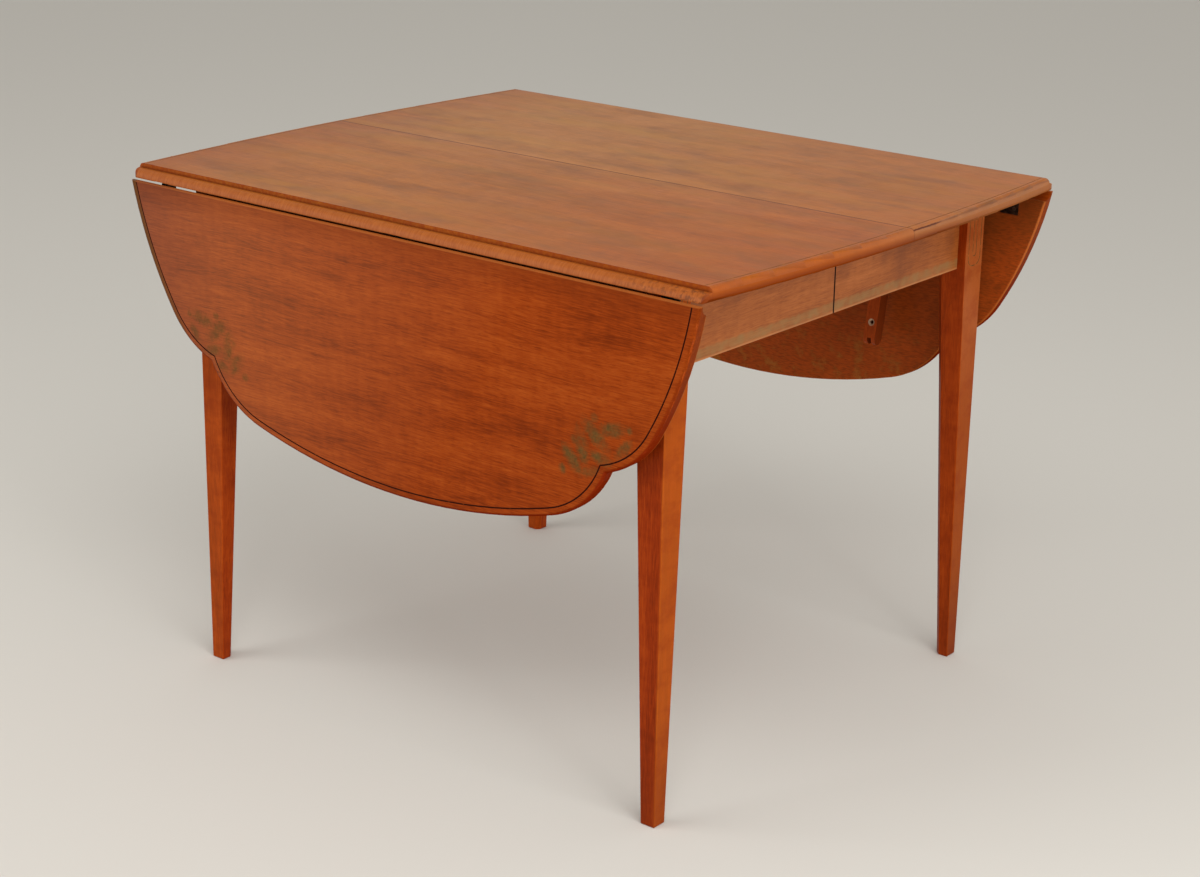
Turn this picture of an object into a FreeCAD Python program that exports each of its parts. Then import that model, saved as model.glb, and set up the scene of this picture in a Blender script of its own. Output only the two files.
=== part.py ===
import FreeCAD, Part
import math
import os
import Sketcher
from types import SimpleNamespace

# Drop-leaf extension table: two half tops that pull apart on wooden slides, each with its own
# legs, rails and drop leaf. X runs along the hinge lines, -Y is the front, Z is up from the floor.

doc = FreeCAD.newDocument("DropLeafTable")
sheet = doc.addObject("Spreadsheet::Sheet", "Sizes")
nodes = []
Vector = FreeCAD.Vector
Rotation = FreeCAD.Rotation


class Size:
    """A size that carries its number and the sheet expression that gives it."""

    def __init__(self, value, text):
        self.value = value
        self.text = text

    def __add__(self, other):
        other = as_size(other)
        return Size(self.value + other.value, f"({self.text} + {other.text})")

    def __sub__(self, other):
        other = as_size(other)
        return Size(self.value - other.value, f"({self.text} - {other.text})")

    def __mul__(self, other):
        other = as_size(other)
        return Size(self.value * other.value, f"({self.text} * {other.text})")

    def __truediv__(self, other):
        other = as_size(other)
        return Size(self.value / other.value, f"({self.text} / {other.text})")

    def __neg__(self):
        return self * -1

    __rmul__ = __mul__


def as_size(number):
    return number if isinstance(number, Size) else Size(float(number), f"({number})")


def root(size):
    return Size(math.sqrt(size.value), f"sqrt({size.text})")


# Driving dimensions, in millimetres and degrees
sizes = {
    # Whole table
    "table_height": 750,
    "top_thickness": 19,
    "hinge_line": 404,
    "top_half_length": 507,
    "end_bow": 20,
    "corner_round": 8,
    "seam_offset": 10,
    "seam_gap": 0.3,
    # Rule joint between top and leaf
    "joint_radius": 14,
    "joint_clearance": 0.5,
    "pivot_drop": 1.5,
    # Drop leaf
    "leaf_drop": 362,
    "leaf_end_inset": 3,
    "leaf_lean_angle": 2.3,
    "leaf_side_radius": 564,
    "leaf_hip_radius": 134,
    "leaf_cusp_inset": 144.6,
    "leaf_cusp_radius": 2.5,
    "leaf_shoulder_radius": 144,
    "leaf_edge_round": 4.5,
    "leaf_back_round": 2.5,
    # Legs and rails
    "leg_inset_x": 85.5,
    "leg_inset_y": 27,
    "leg_width": 47,
    "leg_foot": 22.5,
    "foot_chamfer": 1.5,
    "leg_arris_round": 1.2,
    "leg_inner_chamfer": 8,
    "rail_depth": 116.5,
    "rail_thickness": 20,
    "rail_setback": 13.6,
    "rail_split": 2.2,
    "tenon_thickness": 10,
    "tenon_length": 18,
    "tenon_shoulder": 14,
    # Corner blocks and their bolts
    "block_arm": 58,
    "block_toe": 14,
    "block_height": 60,
    "leg_bolt_radius": 4,
    "leg_bolt_bite": 18,
    "nut_height": 6.5,
    "nut_radius": 7.5,
    # Hinges
    "hinge_end_inset": 61,
    "hinge_width": 28,
    "hinge_thickness": 2,
    "plate_length": 34,
    "strap_length": 40,
    "knuckle_radius": 2.6,
    "knuckle_width": 9.2,
    "hinge_clearance": 0.4,
    "hinge_pin_radius": 1.2,
    "running_fit": 0.05,
    "screw_radius": 1.6,
    "screw_head_radius": 3.2,
    "screw_length": 13,
    "screw_spread": 16,
    # Extension slides
    "slide_spacing": 190,
    "slide_width": 22,
    "slide_height": 38,
    "slide_end_clearance": 33.4,
    "slide_clearance": 0.4,
    "tongue_height": 10,
    "tongue_depth": 7,
    # Leaf props
    "prop_spacing": 257,
    "prop_width": 20,
    "prop_length": 166,
    "prop_lean_angle": 10,
    "prop_pivot_inset": 21,
    "prop_pivot_rise": 25.5,
    "prop_bolt_radius": 3,
    "prop_hole_radius": 2.8,
    "prop_hole_sink": 4.8,
    "prop_hole_rise": 34,
    "prop_notch_width": 7,
    "prop_notch_depth": 10,
    "bracket_thickness": 2,
    "bracket_height": 44,
    "bolt_head_radius": 5.5,
    "bolt_head_height": 4,
    # Table locks and alignment dowels under and in the seam
    "lock_spacing": 92,
    "lock_setback": 26,
    "lock_reach": 56,
    "lock_width": 13,
    "lock_thickness": 3,
    "lock_hang": 4,
    "lock_pivot_radius": 3,
    "lock_boss_radius": 8,
    "lock_clearance": 0.4,
    "keeper_width": 9,
    "dowel_spacing": 350,
    "dowel_radius": 4,
    "dowel_bite": 22,
    "dowel_reach": 13,
    "dowel_clearance": 0.25,
}


def driving(row, alias, value):
    """Writes one driving dimension into a row of the sheet."""
    sheet.set(f"A{row}", alias)
    sheet.set(f"B{row}", str(value))
    sheet.setAlias(f"B{row}", alias)
    return Size(float(value), f"Sizes.{alias}")


dim = SimpleNamespace()
for row, (alias, value) in enumerate(sizes.items(), 1):
    setattr(dim, alias, driving(row, alias, value))

doc.recompute()

zero = as_size(0)
underside = dim.table_height - dim.top_thickness
pivot_height = underside - dim.pivot_drop
end_round = dim.top_thickness * 0.4
end_under_round = dim.top_thickness * 0.26
step_height = dim.top_thickness + dim.pivot_drop - dim.joint_radius
ovolo_reach = root(dim.joint_radius * dim.joint_radius - dim.pivot_drop * dim.pivot_drop)
rail_bottom = underside - dim.rail_depth
end_radius = (dim.hinge_line * dim.hinge_line + dim.end_bow * dim.end_bow) / (dim.end_bow * 2)
leg_face_x = dim.top_half_length - dim.leg_inset_x
leg_face_y = dim.hinge_line - dim.leg_inset_y
leg_inner_x = leg_face_x - dim.leg_width
leg_inner_y = leg_face_y - dim.leg_width
rail_face_x = leg_face_x - dim.rail_setback
rail_face_y = leg_face_y - dim.rail_setback
rail_inner_x = rail_face_x - dim.rail_thickness
rail_inner_y = rail_face_y - dim.rail_thickness
front_seam = dim.seam_offset - dim.seam_gap / 2
rear_seam = dim.seam_offset + dim.seam_gap / 2
slide_length = (rail_inner_y - dim.slide_end_clearance) * 2
hinge_x = dim.top_half_length - dim.hinge_end_inset
leaf_half_length = dim.top_half_length - dim.leaf_end_inset
side_join = dim.leaf_drop * 0.5055
cusp_drop = dim.leaf_drop * 0.6707
cusp_half = leaf_half_length - dim.leaf_cusp_inset
lobe_rise = dim.leaf_drop * 0.1986
lobe_radius = (cusp_half * cusp_half + lobe_rise * lobe_rise) / (lobe_rise * 2)

SIDES = {"front": -1, "rear": 1}
ENDS = {"left": -1, "right": 1}
HINGES = {"left": -1, "middle": 0, "right": 1}


def bind(thing, **bound):
    for name, size in bound.items():
        thing.setExpression(name, size.text)


def move_to(thing, place):
    for axis, size in zip("xyz", place):
        thing.setExpression(f"Placement.Base.{axis}", size.text)


def box(name, first, second):
    """A block between two opposite corners, given in any order."""
    low = [min(pair, key=lambda size: size.value) for pair in zip(first, second)]
    high = [max(pair, key=lambda size: size.value) for pair in zip(first, second)]
    block = doc.addObject("Part::Box", name)
    bind(block, Length=high[0] - low[0], Width=high[1] - low[1], Height=high[2] - low[2])
    move_to(block, low)
    return block


def turned(name, kind, direction, start, **sizes):
    """A round primitive that starts at a point and runs along a direction."""
    solid = doc.addObject(kind, name)
    bind(solid, **sizes)
    solid.Placement = FreeCAD.Placement(Vector(), Rotation(Vector(0, 0, 1), Vector(*direction)))
    move_to(solid, start)
    return solid


def rod(name, direction, start, length, radius):
    return turned(name, "Part::Cylinder", direction, start, Radius=radius, Height=length)


def fuse(name, solids):
    joined = doc.addObject("Part::MultiFuse", name)
    joined.Shapes = solids
    return joined


def cut(name, base, tools):
    result = doc.addObject("Part::Cut", name)
    result.Base = base
    result.Tool = tools[0] if len(tools) == 1 else fuse(name + "_tools", tools)
    return result


def group(name, solids):
    together = doc.addObject("Part::Compound", name)
    together.Links = solids
    return together


def node(label, thing):
    thing.Label = label
    nodes.append(thing)
    return thing


def body_sketch(body, name, plane, height=None):
    """A sketch on one of the body's own origin planes, raised along its normal."""
    sketch = body.newObject("Sketcher::SketchObject", name)
    origin = [item for item in body.Origin.OriginFeatures if item.Role == plane][0]
    sketch.AttachmentSupport = [(origin, "")]
    sketch.MapMode = "FlatFace"
    if height is not None:
        sketch.setExpression("AttachmentOffset.Base.z", height.text)
    return sketch


def constrain(sketch, kind, *where, size=None):
    if size is None:
        sketch.addConstraint(Sketcher.Constraint(kind, *where))
        return
    index = sketch.addConstraint(Sketcher.Constraint(kind, *where, size.value))
    sketch.setExpression(f"Constraints[{index}]", size.text)


def pin_point(sketch, edge, end, x, y):
    """Ties one end of a sketch edge to the sheet; a coordinate of None stays free."""
    for size, kind, axis in ((x, "DistanceX", -2), (y, "DistanceY", -1)):
        if size is None:
            continue
        if abs(size.value) < 1e-9:
            constrain(sketch, "PointOnObject", edge, end, axis)
        else:
            constrain(sketch, kind, -1, 1, edge, end, size=size)


def arc_between(start, end, radius, side):
    """Arc from start to end that bulges to the right of the way for side 1, to the left for -1."""
    half = (end - start) * 0.5
    leftward = Vector(-half.y, half.x, 0).normalize()
    centre = start + half + leftward * (side * math.sqrt(max(radius ** 2 - half.Length ** 2, 0.0)))
    first, last = (start, end) if side > 0 else (end, start)
    angles = [math.atan2(point.y - centre.y, point.x - centre.x) for point in (first, last)]
    if angles[1] < angles[0]:
        angles[1] += 2 * math.pi
    return Part.ArcOfCircle(Part.Circle(centre, Vector(0, 0, 1), radius), *angles)


def outline(sketch, corners, arcs=None, smooth=(), loose=None, tie_radii=True):
    """Draws a closed outline through corners that are tied to the sheet.

    arcs maps an edge's number to its radius and bulge side, smooth lists the corners where two
    edges run on tangentially, and loose maps a corner to the coordinates that tangency finds.
    Half circles between pinned corners leave their radii untied."""
    arcs = arcs or {}
    loose = loose or {}
    points = [Vector(x.value, y.value, 0) for x, y in corners]
    start_of = []
    for number, start in enumerate(points):
        end = points[(number + 1) % len(points)]
        if number in arcs:
            radius, side = arcs[number]
            sketch.addGeometry(arc_between(start, end, radius.value, side))
            start_of.append(1 if side > 0 else 2)
        else:
            sketch.addGeometry(Part.LineSegment(start, end))
            start_of.append(1)
    for number in range(len(points)):
        kind = "Tangent" if number in smooth else "Coincident"
        before = (number - 1) % len(points)
        constrain(sketch, kind, before, 3 - start_of[before], number, start_of[number])
    for number, (x, y) in enumerate(corners):
        free = loose.get(number, "")
        pin_point(sketch, number, start_of[number], None if "x" in free else x, None if "y" in free else y)
    for number, (radius, side) in arcs.items():
        if tie_radii:
            constrain(sketch, "Radius", number, size=radius)


def pad(body, name, sketch, length, both_ways=False):
    feature = body.newObject("PartDesign::Pad", name)
    feature.Profile = sketch
    bind(feature, Length=length)
    if both_ways:
        feature.SideType = "Symmetric"
    return feature


def edges_where(shape, test):
    return [f"Edge{number}" for number, edge in enumerate(shape.Edges, 1) if test(edge)]


def end_edge(y):
    """How far the bowed end reaches at a distance y from the middle."""
    return dim.top_half_length + dim.end_bow - end_radius + root(end_radius * end_radius - y * y)


def screw(name, x, y, face, upward):
    """Countersunk wood screw whose flat head lies on a face and whose shank points up or down."""
    sink = dim.screw_head_radius - dim.screw_radius
    way = (0, 0, upward)
    head = turned(name + "_head", "Part::Cone", way, (x, y, face),
                  Radius1=dim.screw_head_radius, Radius2=dim.screw_radius, Height=sink)
    shank = rod(name + "_shank", way, (x, y, face), dim.screw_length, dim.screw_radius)
    return fuse(name, [head, shank])


def hang_on_leaf(thing, side):
    """Turns a piece drawn flat about the hinge axis into the hanging leaf's place."""
    swing = (dim.leaf_lean_angle + 90) * -side
    thing.Placement = FreeCAD.Placement(Vector(), Rotation(Vector(1, 0, 0), swing.value))
    thing.setExpression("Placement.Rotation.Angle", swing.text)
    move_to(thing, (zero, dim.hinge_line * side, pivot_height))


def hinge(place, side, x):
    """Back-flap hinge: a plate under the top, a strap under the leaf, and the pin between them."""
    left = x - dim.hinge_width / 2
    right = x + dim.hinge_width / 2
    middle_low = x - dim.knuckle_width / 2
    middle_high = x + dim.knuckle_width / 2
    free = dim.knuckle_radius + dim.hinge_clearance
    line = dim.hinge_line * side
    seat = dim.pivot_drop - dim.hinge_thickness

    plate_screws = []
    strap_screws = []
    for way in (-1, 1):
        screw_x = x + dim.screw_spread / 2 * way
        near = dim.plate_length * (0.5 + 0.14 * way)
        far = dim.strap_length * (0.66 + 0.12 * way)
        plate_screws.append(screw(f"{place}_plate_screw_{way + 1}", screw_x, line - near * side,
                                  pivot_height + seat, 1))
        strap_screws.append(screw(f"{place}_strap_screw_{way + 1}", screw_x, far * side, seat, 1))

    leaf = box(f"{place}_plate_flap", (left, line - dim.plate_length * side, pivot_height + seat),
               (right, line, underside))
    axle = (left, line, pivot_height)
    barrel = rod(f"{place}_plate_barrel", (1, 0, 0), axle, dim.hinge_width, dim.knuckle_radius)
    gap = box(f"{place}_plate_gap",
              (middle_low - dim.hinge_clearance, line - free * side, pivot_height - free),
              (middle_high + dim.hinge_clearance, line + free * side, pivot_height + free))
    bore = rod(f"{place}_plate_bore", (1, 0, 0), axle, dim.hinge_width, dim.hinge_pin_radius)
    node(f"{place}_hinge_plate",
         cut(f"{place}_plate", fuse(f"{place}_plate_blank", [leaf, barrel]), [gap, bore] + plate_screws))

    flap = box(f"{place}_strap_flap", (left, free * side, seat),
               (right, dim.strap_length * side, dim.pivot_drop))
    finger = box(f"{place}_strap_finger", (middle_low, zero, seat),
                 (middle_high, free * side, dim.pivot_drop))
    knuckle = rod(f"{place}_strap_knuckle", (1, 0, 0), (middle_low, zero, zero), dim.knuckle_width,
                  dim.knuckle_radius)
    eye = rod(f"{place}_strap_eye", (1, 0, 0), (middle_low, zero, zero), dim.knuckle_width,
              dim.hinge_pin_radius + dim.running_fit)
    strap = cut(f"{place}_strap", fuse(f"{place}_strap_blank", [flap, finger, knuckle]), [eye] + strap_screws)
    hang_on_leaf(node(f"{place}_hinge_strap", strap), side)

    pin = rod(f"{place}_hinge_pin", (1, 0, 0), axle, dim.hinge_width, dim.hinge_pin_radius)
    room = rod(f"{place}_barrel_room", (1, 0, 0), (left - dim.hinge_clearance, line, pivot_height),
               dim.hinge_width + dim.hinge_clearance * 2, free)
    relief = box(f"{place}_strap_room",
                 (left - dim.hinge_clearance, line, underside - dim.hinge_clearance),
                 (right + dim.hinge_clearance, line + dim.joint_radius * 2 * side,
                  underside + dim.hinge_clearance))
    return {"plate_screws": plate_screws, "strap_screws": strap_screws, "pin": pin, "room": [room, relief]}


def top_blank(name, side):
    """Half top: bowed end with its edge rounded above and below, and the rule joint's quarter round."""
    body = doc.addObject("PartDesign::Body", name + "_blank")
    seam = front_seam if side < 0 else rear_seam
    outer = (dim.hinge_line + ovolo_reach) * side
    plan = body_sketch(body, name + "_plan", "XY_Plane")
    corners = [(-end_edge(outer), outer), (end_edge(outer), outer),
               (end_edge(seam), seam), (-end_edge(seam), seam)]
    outline(plan, corners, {1: (end_radius, -side), 3: (end_radius, -side)})
    board = pad(body, name + "_board", plan, dim.top_thickness)
    doc.recompute()

    middle = dim.top_thickness.value / 2
    upper_ends = edges_where(board.Shape, lambda edge: edge.Curve.TypeId == "Part::GeomCircle"
                             and edge.BoundBox.ZMin > middle)
    rounding = body.newObject("PartDesign::Fillet", name + "_rounding")
    rounding.Base = (board, upper_ends)
    bind(rounding, Radius=end_round)
    doc.recompute()

    lower_ends = edges_where(rounding.Shape, lambda edge: edge.Curve.TypeId == "Part::GeomCircle"
                             and edge.BoundBox.ZMax < 0.01)
    under_rounding = body.newObject("PartDesign::Fillet", name + "_under_rounding")
    under_rounding.Base = (rounding, lower_ends)
    bind(under_rounding, Radius=end_under_round)

    profile = body_sketch(body, name + "_rule_joint", "YZ_Plane")
    beyond = (dim.hinge_line + dim.joint_radius * 2) * side
    inner = dim.hinge_line * side
    corners = [(inner, dim.top_thickness * 2), (inner, dim.top_thickness - step_height),
               (outer, zero), (beyond, zero), (beyond, dim.top_thickness * 2)]
    outline(profile, corners, {1: (dim.joint_radius, -side)})
    moulding = body.newObject("PartDesign::Pocket", name + "_moulding")
    moulding.Profile = profile
    moulding.Type = "ThroughAll"
    moulding.SideType = "Symmetric"
    doc.recompute()

    reach = dim.corner_round
    for end in ENDS.values():
        waste = body_sketch(body, f"{name}_corner_{end + 1}", "XY_Plane")
        on_end = (end_edge(outer - reach * side) * end, outer - reach * side)
        on_side = ((end_edge(outer) - reach) * end, outer)
        outside = ((end_edge(outer) + reach) * end, outer + reach * side)
        outline(waste, [on_end, outside, on_side], {2: (reach * 1.06, -side * end)})
        easing = body.newObject("PartDesign::Pocket", f"{name}_eased_corner_{end + 1}")
        easing.Profile = waste
        easing.Type = "ThroughAll"
        easing.SideType = "Symmetric"
        doc.recompute()
    body.setExpression("Placement.Base.z", underside.text)
    doc.recompute()
    return body


def leaf_blank(name, side):
    """Leaf drawn flat about the hinge axis: scrolled outline, rounded upper edge and the cove."""
    body = doc.addObject("PartDesign::Body", name + "_blank")
    plan = body_sketch(body, name + "_plan", "XY_Plane", dim.pivot_drop)
    lip = dim.seam_gap * side
    join = side_join * side
    cusp = cusp_drop * side
    fall = lobe_radius - dim.leaf_drop
    lobe_half = cusp_half * 0.74
    lobe_end = (root(lobe_radius * lobe_radius - lobe_half * lobe_half) - fall) * side
    join_half = leaf_half_length - dim.leaf_cusp_inset * 0.48
    corners = [(-leaf_half_length, lip), (leaf_half_length, lip), (join_half, join), (cusp_half, cusp),
               (lobe_half, lobe_end), (-lobe_half, lobe_end), (-cusp_half, cusp), (-join_half, join)]
    radii = [dim.leaf_side_radius, dim.leaf_hip_radius, dim.leaf_shoulder_radius, lobe_radius,
             dim.leaf_shoulder_radius, dim.leaf_hip_radius, dim.leaf_side_radius]
    outline(plan, corners, {number: (radius, side) for number, radius in enumerate(radii, 1)},
            smooth=(2, 4, 5, 7), loose={2: "x", 4: "xy", 5: "xy", 7: "x"})
    lobe = 4
    constrain(plan, "PointOnObject", lobe, 3, -2)
    constrain(plan, "DistanceY", -1, 1, lobe, 3, size=-fall * side)
    board = pad(body, name + "_board", plan, dim.top_thickness)
    doc.recompute()

    low_half = cusp_half.value - dim.leaf_cusp_radius.value
    high_half = cusp_half.value + dim.leaf_cusp_radius.value
    cusp_edges = edges_where(board.Shape, lambda edge: edge.BoundBox.ZLength > dim.top_thickness.value / 2
                             and low_half < abs(edge.CenterOfMass.x) < high_half)
    cusps = body.newObject("PartDesign::Fillet", name + "_cusps")
    cusps.Base = (board, cusp_edges)
    bind(cusps, Radius=dim.leaf_cusp_radius)
    doc.recompute()

    middle = (dim.pivot_drop + dim.top_thickness / 2).value
    upper_edges = edges_where(cusps.Shape, lambda edge: edge.Curve.TypeId == "Part::GeomCircle"
                              and edge.BoundBox.ZMin > middle)
    rounding = body.newObject("PartDesign::Fillet", name + "_rounding")
    rounding.Base = (cusps, upper_edges)
    bind(rounding, Radius=dim.leaf_edge_round)
    doc.recompute()

    lower_edges = edges_where(rounding.Shape, lambda edge: edge.Curve.TypeId == "Part::GeomCircle"
                              and edge.BoundBox.ZMax < dim.pivot_drop.value + 0.01)
    easing = body.newObject("PartDesign::Fillet", name + "_easing")
    easing.Base = (rounding, lower_edges)
    bind(easing, Radius=dim.leaf_back_round)
    doc.recompute()
    return body


def make_top_and_leaf(place, side):
    fittings = [hinge(f"{place}_{spot}", side, hinge_x * way) for spot, way in HINGES.items()]
    plate_screws = [item for fitting in fittings for item in fitting["plate_screws"]]
    strap_screws = [item for fitting in fittings for item in fitting["strap_screws"]]
    rooms = [item for fitting in fittings for item in fitting["room"]]
    node(f"{place}_hinge_pins", group(f"{place}_pins", [fitting["pin"] for fitting in fittings]))
    node(f"{place}_plate_screws", group(f"{place}_plate_screw_set", plate_screws))
    hang_on_leaf(node(f"{place}_strap_screws", group(f"{place}_strap_screw_set", strap_screws)), side)

    middle = underside + dim.top_thickness / 2
    dowel_holes = []
    for number, way in enumerate(HINGES.values()):
        radius = dim.dowel_radius if side < 0 else dim.dowel_radius + dim.dowel_clearance
        depth = dim.dowel_bite if side < 0 else dim.dowel_reach + dim.dowel_radius
        seam = front_seam if side < 0 else rear_seam
        dowel_holes.append(rod(f"{place}_dowel_hole_{number}", (0, side, 0),
                               (dim.dowel_spacing * way, seam, middle), depth, radius))
    node(f"{place}_top", cut(f"{place}_top_board", top_blank(f"{place}_top", side),
                             rooms + plate_screws + dowel_holes))

    cove = rod(f"{place}_cove", (1, 0, 0), (-leaf_half_length * 2, zero, zero), leaf_half_length * 4,
               dim.joint_radius + dim.joint_clearance)
    leaf = cut(f"{place}_leaf_board", leaf_blank(f"{place}_leaf", side), [cove] + strap_screws)
    hang_on_leaf(node(f"{place}_leaf", leaf), side)


def make_leg(place, side, end):
    """Square leg whose two inner faces taper below the rails, and whose inner corner is planed flat."""
    name = f"{place}_leg"
    body = doc.addObject("PartDesign::Body", name + "_blank")
    x = leg_face_x * end
    y = leg_face_y * side

    def square(sketch_name, width, height):
        sketch = body_sketch(body, sketch_name, "XY_Plane", height)
        inner_x = x - width * end
        inner_y = y - width * side
        outline(sketch, [(x, y), (inner_x, y), (inner_x, inner_y), (x, inner_y)])
        return sketch

    def inner_corner(sketch_name, width, height):
        sketch = body_sketch(body, sketch_name, "XY_Plane", height)
        beyond_x = x - (width + dim.leg_arris_round) * end
        beyond_y = y - (width + dim.leg_arris_round) * side
        wide = dim.leg_inner_chamfer + dim.leg_arris_round * 2
        outline(sketch, [(beyond_x, beyond_y), (beyond_x + wide * end, beyond_y),
                         (beyond_x, beyond_y + wide * side)])
        return sketch

    taper = body.newObject("PartDesign::AdditiveLoft", name + "_taper")
    taper.Profile = square(name + "_foot", dim.leg_foot, zero)
    taper.Sections = [square(name + "_knee", dim.leg_width, rail_bottom)]
    taper.Ruled = True
    block = pad(body, name + "_block", square(name + "_square", dim.leg_width, rail_bottom), dim.rail_depth)
    doc.recompute()
    toe = body.newObject("PartDesign::Chamfer", name + "_toe")
    toe.Base = (block, edges_where(block.Shape, lambda edge: edge.BoundBox.ZMax < dim.foot_chamfer.value))
    bind(toe, Size=dim.foot_chamfer)
    doc.recompute()

    def outer_arris(edge):
        reach_x = abs(edge.CenterOfMass.x - x.value)
        reach_y = abs(edge.CenterOfMass.y - y.value)
        return edge.Length > dim.leg_width.value * 2 and min(reach_x, reach_y) < 0.01

    arrises = body.newObject("PartDesign::Fillet", name + "_arrises")
    arrises.Base = (toe, edges_where(toe.Shape, outer_arris))
    bind(arrises, Radius=dim.leg_arris_round)
    flat = body.newObject("PartDesign::SubtractiveLoft", name + "_inner_flat")
    flat.Profile = inner_corner(name + "_flat_foot", dim.leg_foot, zero)
    flat.Sections = [inner_corner(name + "_flat_knee", dim.leg_width, rail_bottom),
                     inner_corner(name + "_flat_head", dim.leg_width, underside)]
    flat.Ruled = True
    doc.recompute()
    return body


def rail_with_tenons(name, first, second, tenons):
    low = rail_bottom + dim.tenon_shoulder
    high = underside - dim.tenon_shoulder
    cheeks = []
    for number, (start, stop) in enumerate(tenons):
        cheeks.append(box(f"{name}_tenon_{number}", (*start, low), (*stop, high)))
    plank = box(f"{name}_plank", (*first, rail_bottom), (*second, underside))
    return node(name, fuse(f"{name}_board", [plank] + cheeks)), cheeks


def make_frame(place, side):
    """Legs, rails, corner blocks and the bolts that draw the legs in."""
    half_cheek = (dim.rail_thickness - dim.tenon_thickness) / 2
    tenon_face_y = (rail_face_y - half_cheek) * side
    tenon_back_y = (rail_inner_y + half_cheek) * side
    tenons = [((leg_inner_x * end, tenon_face_y), ((leg_inner_x + dim.tenon_length) * end, tenon_back_y))
              for end in ENDS.values()]
    side_rail, side_cheeks = rail_with_tenons(
        f"{place}_side_rail", (-leg_inner_x, rail_face_y * side), (leg_inner_x, rail_inner_y * side), tenons)

    split = dim.seam_offset + dim.rail_split / 2 * side
    bolt_height = underside - dim.rail_depth / 2
    rail_depth_in = dim.rail_setback + dim.rail_thickness
    seat = (dim.block_arm + dim.block_toe - dim.leg_width + rail_depth_in) / math.sqrt(2)
    bolts = []
    for end_name, end in ENDS.items():
        corner = f"{place}_{end_name}"
        tenon_face_x = (rail_face_x - half_cheek) * end
        tenon_back_x = (rail_inner_x + half_cheek) * end
        tenon_tip = (leg_inner_y + dim.tenon_length) * side
        end_rail, end_cheeks = rail_with_tenons(
            f"{corner}_end_rail", (rail_face_x * end, split), (rail_inner_x * end, leg_inner_y * side),
            [((tenon_face_x, leg_inner_y * side), (tenon_back_x, tenon_tip))])

        inward = (-end, -side, 0)
        bite = dim.leg_bolt_bite / math.sqrt(2)
        start = ((leg_inner_x + bite) * end, (leg_inner_y + bite) * side, bolt_height)
        reach = dim.leg_bolt_bite + seat + dim.nut_height * 2
        bolt = rod(f"{corner}_bolt", inward, start, reach, dim.leg_bolt_radius)
        step = seat / math.sqrt(2)
        nut_place = ((leg_inner_x - step) * end, (leg_inner_y - step) * side, bolt_height)
        hexagon = turned(f"{corner}_hexagon", "Part::Prism", inward, nut_place,
                         Circumradius=dim.nut_radius, Height=dim.nut_height)
        bolts += [bolt, cut(f"{corner}_nut", hexagon, [bolt])]

        cheek = side_cheeks[0] if end < 0 else side_cheeks[1]
        post = make_leg(corner, side, end)
        node(f"{corner}_leg", cut(f"{corner}_leg_post", post, [cheek, bolt] + end_cheeks))

        block = doc.addObject("PartDesign::Body", f"{corner}_block_blank")
        plan = body_sketch(block, f"{corner}_block_plan", "XY_Plane", bolt_height - dim.block_height / 2)
        outline(plan, [
            (rail_inner_x * end, leg_inner_y * side),
            (rail_inner_x * end, (leg_inner_y - dim.block_arm) * side),
            ((rail_inner_x - dim.block_toe) * end, (leg_inner_y - dim.block_arm) * side),
            ((leg_inner_x - dim.block_arm) * end, (rail_inner_y - dim.block_toe) * side),
            ((leg_inner_x - dim.block_arm) * end, rail_inner_y * side),
            (leg_inner_x * end, rail_inner_y * side),
            (leg_inner_x * end, (leg_inner_y + dim.leg_inner_chamfer) * side),
            ((leg_inner_x + dim.leg_inner_chamfer) * end, leg_inner_y * side)])
        pad(block, f"{corner}_block_pad", plan, dim.block_height)
        node(f"{corner}_corner_block", cut(f"{corner}_block", block, [bolt]))
    node(f"{place}_leg_bolts", group(f"{place}_bolt_set", bolts))


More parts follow.
